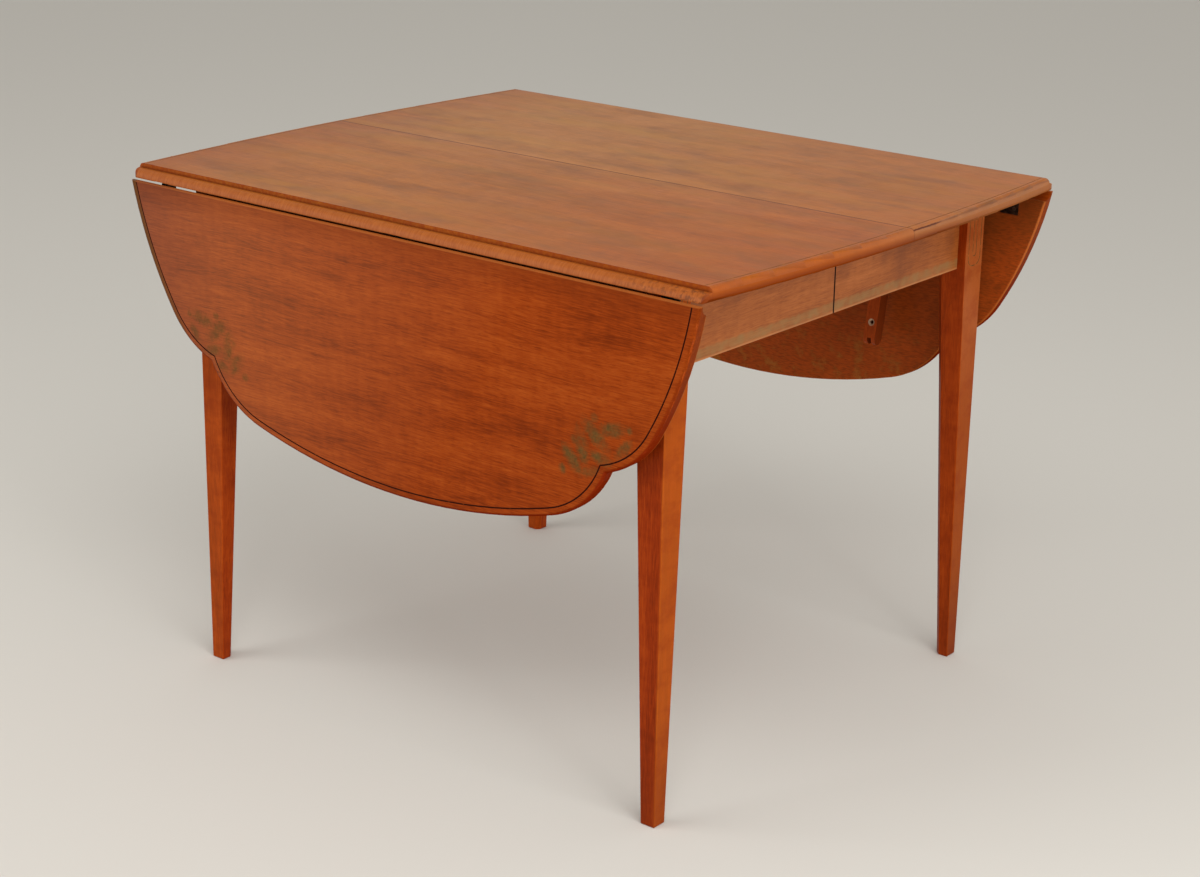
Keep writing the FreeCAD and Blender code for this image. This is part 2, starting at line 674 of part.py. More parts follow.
def make_props(place, side):
    """Wooden props that hang on bolts in steel brackets and swing out under the raised leaf."""
    pivot_y = (dim.hinge_line - dim.prop_pivot_inset) * side
    pivot_z = rail_bottom + dim.prop_pivot_rise
    half = dim.prop_width / 2
    cheek_gap = half + dim.lock_clearance
    cheek_out = cheek_gap + dim.bracket_thickness
    bolts = []
    for end_name, end in ENDS.items():
        name = f"{place}_{end_name}_prop"
        x = dim.prop_spacing * end
        body = doc.addObject("PartDesign::Body", name + "_blank")
        sketch = body_sketch(body, name + "_outline", "YZ_Plane")
        outline(sketch, [(half, zero), (half, -dim.prop_length), (-half, -dim.prop_length), (-half, zero)],
                {1: (half, -1), 3: (half, -1)}, smooth=(1, 3), tie_radii=False)
        pad(body, name + "_bar", sketch, dim.prop_width, both_ways=True)
        eye_radius = dim.prop_bolt_radius + dim.running_fit
        eye = rod(name + "_eye", (1, 0, 0), (-half, zero, zero), dim.prop_width, eye_radius)
        tip = dim.prop_length + half
        hole_z = -(tip - dim.prop_hole_rise)
        hole_end = (zero, -half * side, hole_z)
        hole = rod(name + "_hole", (0, side, 0), hole_end, dim.prop_width, dim.prop_hole_radius)
        sink = turned(name + "_sink", "Part::Cone", (0, side, 0), (zero, -half * side, hole_z),
                      Radius1=dim.prop_hole_sink, Radius2=dim.prop_hole_radius,
                      Height=dim.prop_hole_sink - dim.prop_hole_radius)
        notch = box(name + "_notch", (-dim.prop_notch_width / 2, -dim.prop_width, -tip),
                    (dim.prop_notch_width / 2, dim.prop_width, -tip + dim.prop_notch_depth))
        prop = node(name, cut(name + "_stick", body, [eye, hole, sink, notch]))
        lean = dim.prop_lean_angle * -side
        prop.Placement = FreeCAD.Placement(Vector(), Rotation(Vector(1, 0, 0), lean.value))
        prop.setExpression("Placement.Rotation.Angle", lean.text)
        move_to(prop, (x, pivot_y, pivot_z))

        face = rail_face_y * side
        back = box(name + "_back", (x - cheek_out, face, pivot_z - dim.bracket_height / 2),
                   (x + cheek_out, face + dim.bracket_thickness * side, pivot_z + dim.bracket_height / 2))
        cheeks = []
        for way in (-1, 1):
            inner = x + cheek_gap * way
            outer = x + cheek_out * way
            cheeks.append(box(f"{name}_cheek_{way + 1}", (inner, face, pivot_z - half),
                              (outer, pivot_y, pivot_z + half)))
            cheeks.append(rod(f"{name}_ear_{way + 1}", (way, 0, 0), (inner, pivot_y, pivot_z),
                              dim.bracket_thickness, half))
        reach = cheek_out + dim.bolt_head_height
        shank_end = (x - reach, pivot_y, pivot_z)
        shank = rod(name + "_shank", (1, 0, 0), shank_end, reach * 2, dim.prop_bolt_radius)
        heads = [turned(f"{name}_head_{way + 1}", "Part::Prism", (way, 0, 0),
                        (x + cheek_out * way, pivot_y, pivot_z),
                        Circumradius=dim.bolt_head_radius, Height=dim.bolt_head_height) for way in (-1, 1)]
        bolts.append(fuse(name + "_bolt", [shank] + heads))
        node(name + "_bracket", cut(name + "_clevis", fuse(name + "_clevis_blank", [back] + cheeks), [shank]))
    node(f"{place}_prop_bolts", group(f"{place}_prop_bolt_set", bolts))


def make_slides(end_name, end):
    """Three-part wooden slide: a member under each half top and a tongued runner between them."""
    middle = dim.slide_spacing * end
    low = middle - dim.slide_width / 2
    high = middle + dim.slide_width / 2
    bottom = underside - dim.slide_height
    tongue_z = underside - dim.slide_height / 2
    front = -slide_length / 2
    rear = slide_length / 2
    play = dim.slide_clearance

    runner_bar = box(f"{end_name}_runner_bar", (low, front, bottom), (high, rear, underside - play))
    tongue = box(f"{end_name}_runner_tongue",
                 (low - dim.tongue_depth, front, tongue_z - dim.tongue_height / 2),
                 (high + dim.tongue_depth, rear, tongue_z + dim.tongue_height / 2))
    node(f"{end_name}_slide_runner", fuse(f"{end_name}_runner", [runner_bar, tongue]))

    for place, side in SIDES.items():
        outward = side * end
        face = middle + (dim.slide_width / 2 + play) * outward
        back = face + dim.slide_width * outward
        bar = box(f"{end_name}_{place}_bar", (face, front, bottom), (back, rear, underside))
        groove = box(f"{end_name}_{place}_groove",
                     (face, front, tongue_z - dim.tongue_height / 2 - play),
                     (face + dim.tongue_depth * outward, rear, tongue_z + dim.tongue_height / 2 + play))
        beyond = rear if side < 0 else front
        relief = box(f"{end_name}_{place}_relief", (face, dim.seam_offset, underside - play),
                     (back, beyond, underside))
        node(f"{end_name}_slide_{place}", cut(f"{end_name}_{place}_member", bar, [groove, relief]))


def make_locks():
    """Swivel levers under the front top that turn under hooked keepers on the rear top."""
    pivots = []
    keepers = []
    pivot_y = dim.seam_offset - dim.lock_setback
    lever_top = underside - dim.lock_hang
    lever_low = lever_top - dim.lock_thickness
    half = dim.lock_width / 2
    for end_name, end in ENDS.items():
        x = dim.lock_spacing * end
        tip = x - (dim.lock_reach - half) * end
        bar = box(f"{end_name}_lever_bar", (x, pivot_y - half, lever_low), (tip, pivot_y + half, lever_top))
        hub = rod(f"{end_name}_lever_hub", (0, 0, 1), (x, pivot_y, lever_low), dim.lock_thickness, half)
        nose = rod(f"{end_name}_lever_nose", (0, 0, 1), (tip, pivot_y, lever_low), dim.lock_thickness, half)
        eye = rod(f"{end_name}_lever_eye", (0, 0, 1), (x, pivot_y, lever_low), dim.lock_thickness,
                  dim.lock_pivot_radius + dim.running_fit)
        blank = fuse(f"{end_name}_lever_blank", [bar, hub, nose])
        node(f"{end_name}_lock_lever", cut(f"{end_name}_lever", blank, [eye]))

        head_top = lever_low - dim.lock_clearance
        boss_low = lever_top + dim.lock_clearance
        up = (0, 0, 1)
        boss = rod(f"{end_name}_pivot_boss", up, (x, pivot_y, boss_low), underside - boss_low,
                   dim.lock_boss_radius)
        shank = rod(f"{end_name}_pivot_shank", up, (x, pivot_y, head_top), underside - head_top,
                    dim.lock_pivot_radius)
        head = rod(f"{end_name}_pivot_head", (0, 0, -1), (x, pivot_y, head_top), dim.lock_thickness,
                   dim.lock_boss_radius)
        pivots.append(fuse(f"{end_name}_pivot", [boss, shank, head]))

        near = pivot_y + dim.lock_reach - half * 2
        far = near + dim.keeper_width
        post_x = x + (half + dim.lock_clearance) * end
        post_out = post_x + dim.lock_thickness * end
        hook_low = lever_low - dim.lock_clearance - dim.lock_thickness
        post = box(f"{end_name}_keeper_post", (post_x, near, hook_low), (post_out, far, underside))
        hook = box(f"{end_name}_keeper_hook", (x - half * end, near, hook_low),
                   (post_out, far, hook_low + dim.lock_thickness))
        keepers.append(fuse(f"{end_name}_keeper", [post, hook]))
    node("lock_pivots", group("lock_pivot_set", pivots))
    node("lock_keepers", group("lock_keeper_set", keepers))


def make_dowels():
    middle = underside + dim.top_thickness / 2
    dowels = []
    for spot, way in HINGES.items():
        x = dim.dowel_spacing * way
        stem = rod(f"{spot}_dowel_stem", (0, 1, 0), (x, front_seam - dim.dowel_bite, middle),
                   dim.dowel_bite + dim.dowel_reach - dim.dowel_radius / 2, dim.dowel_radius)
        nose = turned(f"{spot}_dowel_nose", "Part::Cone", (0, 1, 0),
                      (x, front_seam + dim.dowel_reach - dim.dowel_radius / 2, middle),
                      Radius1=dim.dowel_radius, Radius2=dim.dowel_radius / 2, Height=dim.dowel_radius / 2)
        dowels.append(fuse(f"{spot}_dowel", [stem, nose]))
    node("seam_dowels", group("seam_dowel_set", dowels))


for place, side in SIDES.items():
    make_top_and_leaf(place, side)
    make_frame(place, side)
    make_props(place, side)
for end_name, end in ENDS.items():
    make_slides(end_name, end)
make_locks()
make_dowels()
doc.recompute()

for thing in doc.Objects:
    if "Invalid" in thing.State or "Error" in thing.State:
        raise RuntimeError(f"{thing.Label} did not build")
os.makedirs("parts", exist_ok=True)
for thing in nodes:
    if thing.Shape.isNull() or not thing.Shape.isValid():
        raise RuntimeError(f"{thing.Label} has no valid shape")
    thing.Shape.exportStep(f"parts/{thing.Label}.step")
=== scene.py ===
import bmesh
import bpy
import math
from mathutils import Matrix, Vector


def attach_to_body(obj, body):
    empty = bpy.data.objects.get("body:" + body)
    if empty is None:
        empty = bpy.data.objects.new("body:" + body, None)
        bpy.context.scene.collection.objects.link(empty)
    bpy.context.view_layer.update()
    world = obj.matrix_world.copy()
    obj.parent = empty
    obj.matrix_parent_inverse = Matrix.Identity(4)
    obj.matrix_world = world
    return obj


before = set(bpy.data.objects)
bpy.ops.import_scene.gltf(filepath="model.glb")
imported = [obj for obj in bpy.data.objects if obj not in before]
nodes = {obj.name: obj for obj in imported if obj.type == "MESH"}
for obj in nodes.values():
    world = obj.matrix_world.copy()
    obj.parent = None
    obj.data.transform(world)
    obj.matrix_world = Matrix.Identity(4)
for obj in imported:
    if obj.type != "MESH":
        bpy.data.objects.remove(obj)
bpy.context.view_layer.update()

# Legs: four square maple posts whose two inner faces taper to the foot. They are sawn from the solid,
# stained amber, lacquered, and carry a thin painted line panel on the outer face above the taper.
mm = 0.001


def tone(hex_code):
    """An sRGB hex colour as linear red, green, blue and alpha."""
    channels = [int(hex_code[i:i + 2], 16) / 255 for i in (1, 3, 5)]
    linear = [c / 12.92 if c <= 0.04045 else ((c + 0.055) / 1.055) ** 2.4 for c in channels]
    return (*linear, 1.0)


def add(tree, kind, inputs=None, **settings):
    """Adds a shader node, sets its properties, and fills its inputs with values or other nodes' outputs."""
    made = tree.nodes.new("ShaderNode" + kind)
    for name, value in settings.items():
        setattr(made, name, value)
    for key, value in (inputs or {}).items():
        live = [socket for socket in made.inputs if socket.enabled]
        socket = live[key] if isinstance(key, int) else [s for s in live if s.name == key][0]
        if isinstance(value, bpy.types.Node):
            value = [output for output in value.outputs if output.enabled][0]
        if isinstance(value, bpy.types.NodeSocket):
            tree.links.new(value, socket)
        else:
            socket.default_value = value
    return made


def new_material(name):
    """A material with an empty node tree."""
    material = bpy.data.materials.new(name)
    material.use_nodes = True
    material.node_tree.nodes.clear()
    return material


# How far apart two neighbouring boards lie in the noise
BOARD_APART = 3.7


def maple(name, pale, body, deep, grain="X", board=110 * mm, figure=1.0):
    """Stained maple: boards of drifting tone with long streaks, fine fibres and short dark flecks.

    Gives the material, its place in the piece, the colour and the height of the grain. Each board takes its
    own slice of the noise, so that the grain breaks at the glue lines. Real maple's fibres are some 0.2 mm
    wide, too fine to show here, so they are drawn about eight times as coarse."""
    material = new_material(name)
    tree = material.node_tree
    place = add(tree, "TexCoord").outputs["Object"]
    turn = {"X": (0, 0, 0), "Y": (0, 0, -math.pi / 2), "Z": (0, math.pi / 2, 0)}[grain]
    lie = add(tree, "Mapping", {"Vector": place, "Rotation": turn})
    across = add(tree, "SeparateXYZ", {0: lie}).outputs["Y"]
    strip = add(tree, "Math", {0: across, 1: board}, operation="DIVIDE")
    strip = add(tree, "Math", {0: strip}, operation="FLOOR")
    strip = add(tree, "Math", {0: strip, 1: BOARD_APART}, operation="MULTIPLY")

    drift = add(tree, "Mapping", {"Vector": lie, "Scale": (1 / (260 * mm), 1 / (90 * mm), 1 / (90 * mm))})
    drift = add(tree, "TexNoise", {"Vector": drift, "W": strip, "Scale": 1.0, "Detail": 1.0},
                noise_dimensions="4D")
    sway = add(tree, "VectorMath", {0: drift.outputs["Color"], 1: (0, 14 * mm, 14 * mm), 2: lie},
               operation="MULTIPLY_ADD")

    def streaks(along, wide, detail, rough=0.5):
        """Noise drawn out along the swaying grain."""
        size = (1 / along, 1 / wide, 1 / wide)
        spread = add(tree, "Mapping", {"Vector": sway, "Scale": size})
        return add(tree, "TexNoise", {"Vector": spread, "W": strip, "Scale": 1.0, "Detail": detail,
                                      "Roughness": rough}, noise_dimensions="4D")

    cloud = streaks(240 * mm, 42 * mm, 3.0)
    grown = streaks(420 * mm, 9 * mm, 2.0)
    curl = streaks(11 * mm, 34 * mm, 1.0)
    fibre = streaks(30 * mm, 1.5 * mm, 3.0, rough=0.6)
    fleck = streaks(9 * mm, 1.5 * mm, 0.0)

    shade = add(tree, "Math", {0: cloud, 1: 0.52, 2: 0.23 - 0.47 * figure}, operation="MULTIPLY_ADD")
    for part, weight in ((grown, 0.20), (curl, 0.12), (fibre, 0.62)):
        shade = add(tree, "Math", {0: part, 1: weight * figure, 2: shade}, operation="MULTIPLY_ADD")
    ramp = add(tree, "ValToRGB", {"Fac": shade})
    stops = ramp.color_ramp.elements
    stops[0].position, stops[0].color = 0.27, tone(deep)
    stops[1].position, stops[1].color = 0.71, tone(pale)
    middle = stops.new(0.49)
    middle.color = tone(body)
    ticks = add(tree, "MapRange", {0: fleck, 1: 0.60, 2: 0.74, 3: 0.0, 4: 0.35})
    colour = add(tree, "Mix", {"Factor": ticks, "A": ramp, "B": tone(deep)}, data_type="RGBA")
    height = add(tree, "Math", {0: fibre, 1: 0.6, 2: fleck}, operation="MULTIPLY_ADD")
    return material, place, colour, height


def lacquer(material, colour, height, gloss=0.36, sheen=0.2, depth=0.04 * mm):
    """Satin lacquer over the stain: the grain still telegraphs through it, and it pools unevenly."""
    tree = material.node_tree
    place = add(tree, "TexCoord").outputs["Object"]
    pool = add(tree, "TexNoise", {"Vector": place, "Scale": 1 / (35 * mm), "Detail": 3.0})
    rough = add(tree, "MapRange", {0: pool, 1: 0.3, 2: 0.7, 3: gloss - 0.01, 4: gloss + 0.03})
    relief = add(tree, "Bump", {"Height": height, "Distance": depth, "Strength": 0.5})
    surface = add(tree, "BsdfPrincipled", {"Base Color": colour, "Roughness": rough, "IOR": 1.5,
                                           "Normal": relief, "Specular IOR Level": sheen})
    add(tree, "OutputMaterial", {"Surface": surface})
    return material


def dress(material, *names):
    """Gives a material to the CAD nodes of these names."""
    for name in names:
        nodes[name].material_slots[0].material = material


SIDES = {"front": -1, "rear": 1}
ENDS = {"left": -1, "right": 1}
CORNERS = [f"{side}_{end}" for side in SIDES for end in ENDS]

# Where the legs' outer faces stand
LEG_X, LEG_Y = 421.5 * mm, 377 * mm

# Amber maple with the grain upright: deep red-brown where it kept its stain, paler where light reached it
leg_wood, place, colour, height = maple("leg_maple", "#A8420E", "#913107", "#6E2103", grain="Z",
                                        figure=1.25)
tree = leg_wood.node_tree
spot = add(tree, "SeparateXYZ", {0: place})
facing = add(tree, "SeparateXYZ", {0: add(tree, "TexCoord").outputs["Normal"]})
patchy = add(tree, "TexNoise", {"Vector": place, "Scale": 1 / (60 * mm), "Detail": 4.0})
right_hand = add(tree, "MapRange", {0: spot.outputs["X"], 1: -LEG_X, 2: LEG_X / 2})
left_hand = add(tree, "MapRange", {0: spot.outputs["X"], 1: LEG_X / 2, 2: -LEG_X})

# The outer arris is rubbed in patches
away = add(tree, "VectorMath", {0: place}, operation="ABSOLUTE")
away = add(tree, "SeparateXYZ", {0: away})
from_x = add(tree, "Math", {0: LEG_X, 1: away.outputs["X"]}, operation="SUBTRACT")
from_y = add(tree, "Math", {0: LEG_Y, 1: away.outputs["Y"]}, operation="SUBTRACT")
from_arris = add(tree, "Math", {0: from_x, 1: from_y}, operation="MAXIMUM")
rubbed = add(tree, "MapRange", {0: from_arris, 1: 3.0 * mm, 2: 0.5 * mm})
rubbed = add(tree, "Math", {0: rubbed, 1: patchy}, operation="MULTIPLY")
colour = add(tree, "Mix", {"Factor": rubbed, "A": colour, "B": tone("#B0571C")}, data_type="RGBA")

# Faces that look right are painted lighter and more orange as the lit side, most on the right-hand legs;
# on the rear legs they also carry a painted reflection above and painted shade below
lit_side_tint = add(tree, "MapRange", {0: facing.outputs["X"], 1: 0.4, 2: 0.9, 3: 0.0, 4: 0.65})
lit_side_tint = add(tree, "Math", {0: lit_side_tint, 1: right_hand}, operation="MULTIPLY")
colour = add(tree, "Mix", {"Factor": lit_side_tint, "A": colour, "B": tone("#A8500D")}, data_type="RGBA")
# Painted reflection on the upper part of the rear legs' right-looking faces, painted shade lower down
rear_leg_sheen = add(tree, "MapRange", {0: spot.outputs["Y"], 1: 0.0, 2: LEG_Y, 3: 0.0, 4: 0.4})
rear_leg_sheen = add(tree, "Math", {0: rear_leg_sheen, 1: lit_side_tint}, operation="MULTIPLY")
upper = add(tree, "MapRange", {0: spot.outputs["Z"], 1: 380 * mm, 2: 560 * mm})
sheen_above_shade_below = add(tree, "Mix", {"Factor": upper, "A": tone("#4E200C"), "B": tone("#A36C48")}, data_type="RGBA")
colour = add(tree, "Mix", {"Factor": rear_leg_sheen, "A": colour, "B": sheen_above_shade_below}, data_type="RGBA")

# The front faces are painted lighter as lit from the left, most on the left-hand legs
lit_front = add(tree, "MapRange", {0: facing.outputs["Y"], 1: -0.4, 2: -0.9})
rearward = add(tree, "MapRange", {0: spot.outputs["Y"], 1: 0.0, 2: LEG_Y, 3: 0.0, 4: 0.35})
shown = add(tree, "Math", {0: left_hand, 1: rearward}, operation="MAXIMUM")
lit_front = add(tree, "Math", {0: lit_front, 1: shown}, operation="MULTIPLY")
colour = add(tree, "Mix", {"Factor": lit_front, "A": colour, "B": tone("#482806")}, data_type="RGBA",
             blend_type="ADD")

# Stain has sunk in as short dark blotches, and the feet are scuffed, the left-hand ones hardly
blotch = add(tree, "Mapping", {"Vector": place, "Scale": (1 / (40 * mm), 1 / (40 * mm), 1 / (26 * mm))})
blotch = add(tree, "TexNoise", {"Vector": blotch, "Scale": 1.0, "Detail": 4.0, "Roughness": 0.65})
blotch = add(tree, "MapRange", {0: blotch, 1: 0.46, 2: 0.66, 3: 0.0, 4: 0.4})
colour = add(tree, "Mix", {"Factor": blotch, "A": colour, "B": tone("#7C2504")}, data_type="RGBA")
scuffed = add(tree, "MapRange", {0: spot.outputs["Z"], 1: 150 * mm, 2: 20 * mm})
scuffed = add(tree, "Math", {0: scuffed, 1: patchy}, operation="MULTIPLY")
spared = add(tree, "Math", {0: 1.0, 1: left_hand}, operation="SUBTRACT")
scuffed = add(tree, "Math", {0: scuffed, 1: spared}, operation="MULTIPLY")
colour = add(tree, "Mix", {"Factor": scuffed, "A": colour, "B": tone("#6C2408")}, data_type="RGBA")
dress(lacquer(leg_wood, colour, height, sheen=0.05), *[f"{corner}_leg" for corner in CORNERS])

PAINT_HIGH = 0.06 * mm


def attach(name, mesh, body, material):
    """Makes a piece of a built mesh, lets it move with a body and gives it a material."""
    bmesh.ops.recalc_face_normals(mesh, faces=mesh.faces)
    data = bpy.data.meshes.new(name)
    mesh.to_mesh(data)
    mesh.free()
    data.materials.append(material)
    piece = bpy.data.objects.new(name, data)
    bpy.context.scene.collection.objects.link(piece)
    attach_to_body(piece, body)


def painted_line(name, path, facing, width, body, material):
    """A line of paint along a path on a flat face, as a thin closed ribbon with square ends."""
    facing = Vector(facing).normalized()
    mesh = bmesh.new()
    rows = []
    for number, point in enumerate(path):
        ahead = path[min(number + 1, len(path) - 1)] - path[max(number - 1, 0)]
        aside = facing.cross(ahead).normalized() * (width / 2)
        rise = facing * PAINT_HIGH
        rows.append([mesh.verts.new(point + aside * out + rise * up)
                     for out, up in ((1, 1), (-1, 1), (-1, -1), (1, -1))])
    for row, after in zip(rows, rows[1:]):
        for number in range(4):
            beside = (number + 1) % 4
            mesh.faces.new((row[number], row[beside], after[beside], after[number]))
    mesh.faces.new(rows[0][::-1])
    mesh.faces.new(rows[-1])
    attach(name, mesh, body, material)


def striping(name, paint, worn_to, wear):
    """Oil striping paint, drawn with a long brush: satin, with small rubbed spots where the wood shows."""
    material = new_material(name)
    tree = material.node_tree
    place = add(tree, "TexCoord").outputs["Object"]
    spots = add(tree, "TexNoise", {"Vector": place, "Scale": 1 / (9 * mm), "Detail": 4.0})
    rub = add(tree, "MapRange", {0: spots, 1: 0.62 - wear, 2: 0.78 - wear})
    colour = add(tree, "Mix", {"Factor": rub, "A": tone(paint), "B": tone(worn_to)}, data_type="RGBA")
    surface = add(tree, "BsdfPrincipled", {"Base Color": colour, "Roughness": 0.5, "IOR": 1.5,
                                           "Specular IOR Level": 0.04})
    add(tree, "OutputMaterial", {"Surface": surface})
    return material


# Two nested lines with rounded feet, in olive paint so worn that the wood shows through much of it
PANEL_MIDDLE, PANEL_TOP = 353.5 * mm, 729 * mm
PANELS = {"panel": (16 * mm, 618 * mm), "inner": (4.5 * mm, 632 * mm)}
PANEL_BEND, PANEL_LINE = 12 * mm, 1.4 * mm
BEND_STEPS = 10
panel_line = striping("olive_striping_paint", "#5B4426", "#A8602F", 0.10)
for corner in CORNERS:
    side, end = corner.split("_")
    for label, (half, foot) in PANELS.items():
        bend = min(half, PANEL_BEND)
        flat = [(-half, PANEL_TOP)]
        flat += [(-half + bend * (1 - math.cos(turn)), foot + bend * (1 - math.sin(turn)))
                 for turn in [math.pi / 2 * step / BEND_STEPS for step in range(BEND_STEPS + 1)]]
        flat += [(-y, z) for y, z in reversed(flat)]
        path = [Vector((LEG_X * ENDS[end], PANEL_MIDDLE * SIDES[side] + y, z)) for y, z in flat]
        painted_line(f"{corner}_leg_{label}_line", path, (ENDS[end], 0, 0), PANEL_LINE,
                     f"{side}_half", panel_line)

# Rails: two short maple boards across each end, parted at the middle so that the table can open, and one
# long board along each side behind the leaf. They are tenoned into the legs and stained like them, and a
# faded bronze-green band is painted along the foot of the end rails.
RAIL_FACE_X, RAIL_FOOT, RAIL_PARTING = 407.9 * mm, 614.5 * mm, 10 * mm
BAND_MIDDLE = 624 * mm

# Lighter and browner than the legs: level grain, with smudges and painted shade above
rail_wood, place, colour, height = maple("end_rail_maple", "#B46833", "#9C5524", "#783A14", grain="Y",
                                         board=140 * mm)
tree = rail_wood.node_tree
spot = add(tree, "SeparateXYZ", {0: place})
out = add(tree, "Math", {0: spot.outputs["X"]}, operation="ABSOLUTE")
on_face = add(tree, "Math", {0: out, 1: RAIL_FACE_X - 0.5 * mm}, operation="GREATER_THAN")

# The band has ragged edges and has faded in spots; below it the foot's arris is rubbed pale and painted
# with a highlight
band = add(tree, "Math", {0: spot.outputs["Z"], 1: BAND_MIDDLE}, operation="SUBTRACT")
band = add(tree, "Math", {0: band}, operation="ABSOLUTE")
ragged = add(tree, "TexNoise", {"Vector": place, "Scale": 1 / (14 * mm), "Detail": 5.0})
band = add(tree, "Math", {0: ragged, 1: 6 * mm, 2: band}, operation="MULTIPLY_ADD")
band = add(tree, "MapRange", {0: band, 1: 10.5 * mm, 2: 7 * mm})
band = add(tree, "Math", {0: band, 1: on_face}, operation="MULTIPLY")
fade_and_sheen = add(tree, "MapRange", {0: ragged, 1: 0.3, 2: 0.7, 3: 0.85, 4: 0.3})
band = add(tree, "Math", {0: band, 1: fade_and_sheen}, operation="MULTIPLY")
colour = add(tree, "Mix", {"Factor": band, "A": colour, "B": tone("#8E6A3E")}, data_type="RGBA")
# A pale line on the foot's arris: wear and a painted highlight
foot = add(tree, "Math", {0: spot.outputs["Z"], 1: RAIL_FOOT}, operation="SUBTRACT")
foot = add(tree, "MapRange", {0: foot, 1: 3.5 * mm, 2: 1.5 * mm})
foot = add(tree, "Math", {0: foot, 1: on_face}, operation="MULTIPLY")
foot = add(tree, "Math", {0: foot, 1: 0.45}, operation="MULTIPLY")
colour = add(tree, "Mix", {"Factor": foot, "A": colour, "B": tone("#C98A55")}, data_type="RGBA")

# The sawn ends at the parting are painted dark as the shade in the gap, and painted shade, broken by
# smudges, hangs down from under the top
gap_shade = add(tree, "Math", {0: spot.outputs["Y"], 1: RAIL_PARTING}, operation="SUBTRACT")
gap_shade = add(tree, "Math", {0: gap_shade}, operation="ABSOLUTE")
gap_shade = add(tree, "MapRange", {0: gap_shade, 1: 2.2 * mm, 2: 1.2 * mm})
colour = add(tree, "Mix", {"Factor": gap_shade, "A": colour, "B": tone("#2A1208")}, data_type="RGBA")
smudge = add(tree, "TexNoise", {"Vector": place, "Scale": 1 / (55 * mm), "Detail": 4.0})
# Painted shade under the top, broken up by smudges
smudged_shade = add(tree, "Math", {0: smudge, 1: 200 * mm, 2: spot.outputs["Z"]}, operation="MULTIPLY_ADD")
smudged_shade = add(tree, "MapRange", {0: smudged_shade, 1: 752 * mm, 2: 832 * mm, 3: 0.0, 4: 0.85})
colour = add(tree, "Mix", {"Factor": smudged_shade, "A": colour, "B": tone("#6A361B")}, data_type="RGBA")
dress(lacquer(rail_wood, colour, height), *[f"{corner}_end_rail" for corner in CORNERS])

# The side rails are out of sight, so they are plainer and duller
side_wood, place, colour, height = maple("side_rail_maple", "#A85A28", "#8F451B", "#6E300F", board=140 * mm)
dress(lacquer(side_wood, colour, height, gloss=0.5, sheen=0.1), "front_side_rail", "rear_side_rail")

# Corner blocks: bevelled blocks of bare maple across each corner behind the leg, left unstained and sawn
# rough. A hanger bolt with a hexagon nut and washer draws the leg into the corner.
bare_wood, place, colour, height = maple("bare_maple", "#D2B184", "#BD9865", "#9C7747", grain="Y",
                                         board=60 * mm)
dress(lacquer(bare_wood, colour, height, gloss=0.68, depth=0.09 * mm),
      *[f"{corner}_corner_block" for corner in CORNERS])


def metal(name, colour, dull, rough, metallic=1.0, grit=1.2 * mm):
    """Plain steel fittings: a thin finish with dull spots and fine pitting."""
    material = new_material(name)
    tree = material.node_tree
    place = add(tree, "TexCoord").outputs["Object"]
    spots = add(tree, "TexNoise", {"Vector": place, "Scale": 1 / (6 * mm), "Detail": 5.0})
    pits = add(tree, "TexNoise", {"Vector": place, "Scale": 1 / grit, "Detail": 2.0})
    tarnish = add(tree, "MapRange", {0: spots, 1: 0.42, 2: 0.68})
    shade = add(tree, "Mix", {"Factor": tarnish, "A": tone(colour), "B": tone(dull)}, data_type="RGBA")
    matt = add(tree, "MapRange", {0: spots, 1: 0.3, 2: 0.7, 3: rough - 0.08, 4: rough + 0.12})
    relief = add(tree, "Bump", {"Height": pits, "Distance": 0.03 * mm, "Strength": 0.5})
    surface = add(tree, "BsdfPrincipled", {"Base Color": shade, "Metallic": metallic, "Roughness": matt,
                                           "Normal": relief})
    add(tree, "OutputMaterial", {"Surface": surface})
    return material


# Zinc plate gone grey: soft pale highlights with cloudy spots
zinc = metal("zinc_plated_steel", "#A9A69C", "#7F7A6C", 0.38)
dress(zinc, "front_leg_bolts", "rear_leg_bolts")

# Extension slides: two sets of three maple bars, tongued and grooved into each other, so that the rear half
# pulls away from the front one. They are bare, waxed and rubbed pale where they run.
slide_wood, place, colour, height = maple("waxed_slide_maple", "#CDA674", "#B98D58", "#93693C", grain="Y",
                                          board=45 * mm)
dress(lacquer(slide_wood, colour, height, gloss=0.5, depth=0.07 * mm),
      *[f"{end}_slide_{part}" for end in ENDS for part in ("front", "runner", "rear")])


def slotted_head(name, spot, radius, body, material):
    """A raised wood-screw head that faces down: two bevelled half rounds beside a slot with a floor."""
    high, crown = radius * 0.4, radius * 0.72
    half_slot, floor_half, floor_high = radius * 0.16, radius * 0.95, high * 0.35
    steps = 12
    mesh = bmesh.new()
    shells = []
    for way in (-1, 1):
        rings = []
        for reach, drop in ((radius, 0.0), (crown, high)):
            edge = math.acos(half_slot / reach)
            turns = [-edge + 2 * edge * step / steps for step in range(steps + 1)]
            rings.append([(way * reach * math.cos(turn), reach * math.sin(turn), -drop) for turn in turns])
        shells.append(rings)
    shells.append([[(x, y, -drop) for x, y in ((-half_slot, -floor_half), (half_slot, -floor_half),
                                               (half_slot, floor_half), (-half_slot, floor_half))]
                   for drop in (0.0, floor_high)])
    for low, top in shells:
        low, top = [[mesh.verts.new(Vector(point) + spot) for point in ring] for ring in (low, top)]
        for number in range(len(low)):
            after = (number + 1) % len(low)
            mesh.faces.new((low[number], low[after], top[after], top[number]))
        mesh.faces.new(low)
        mesh.faces.new(top)
    attach(name, mesh, body, material)


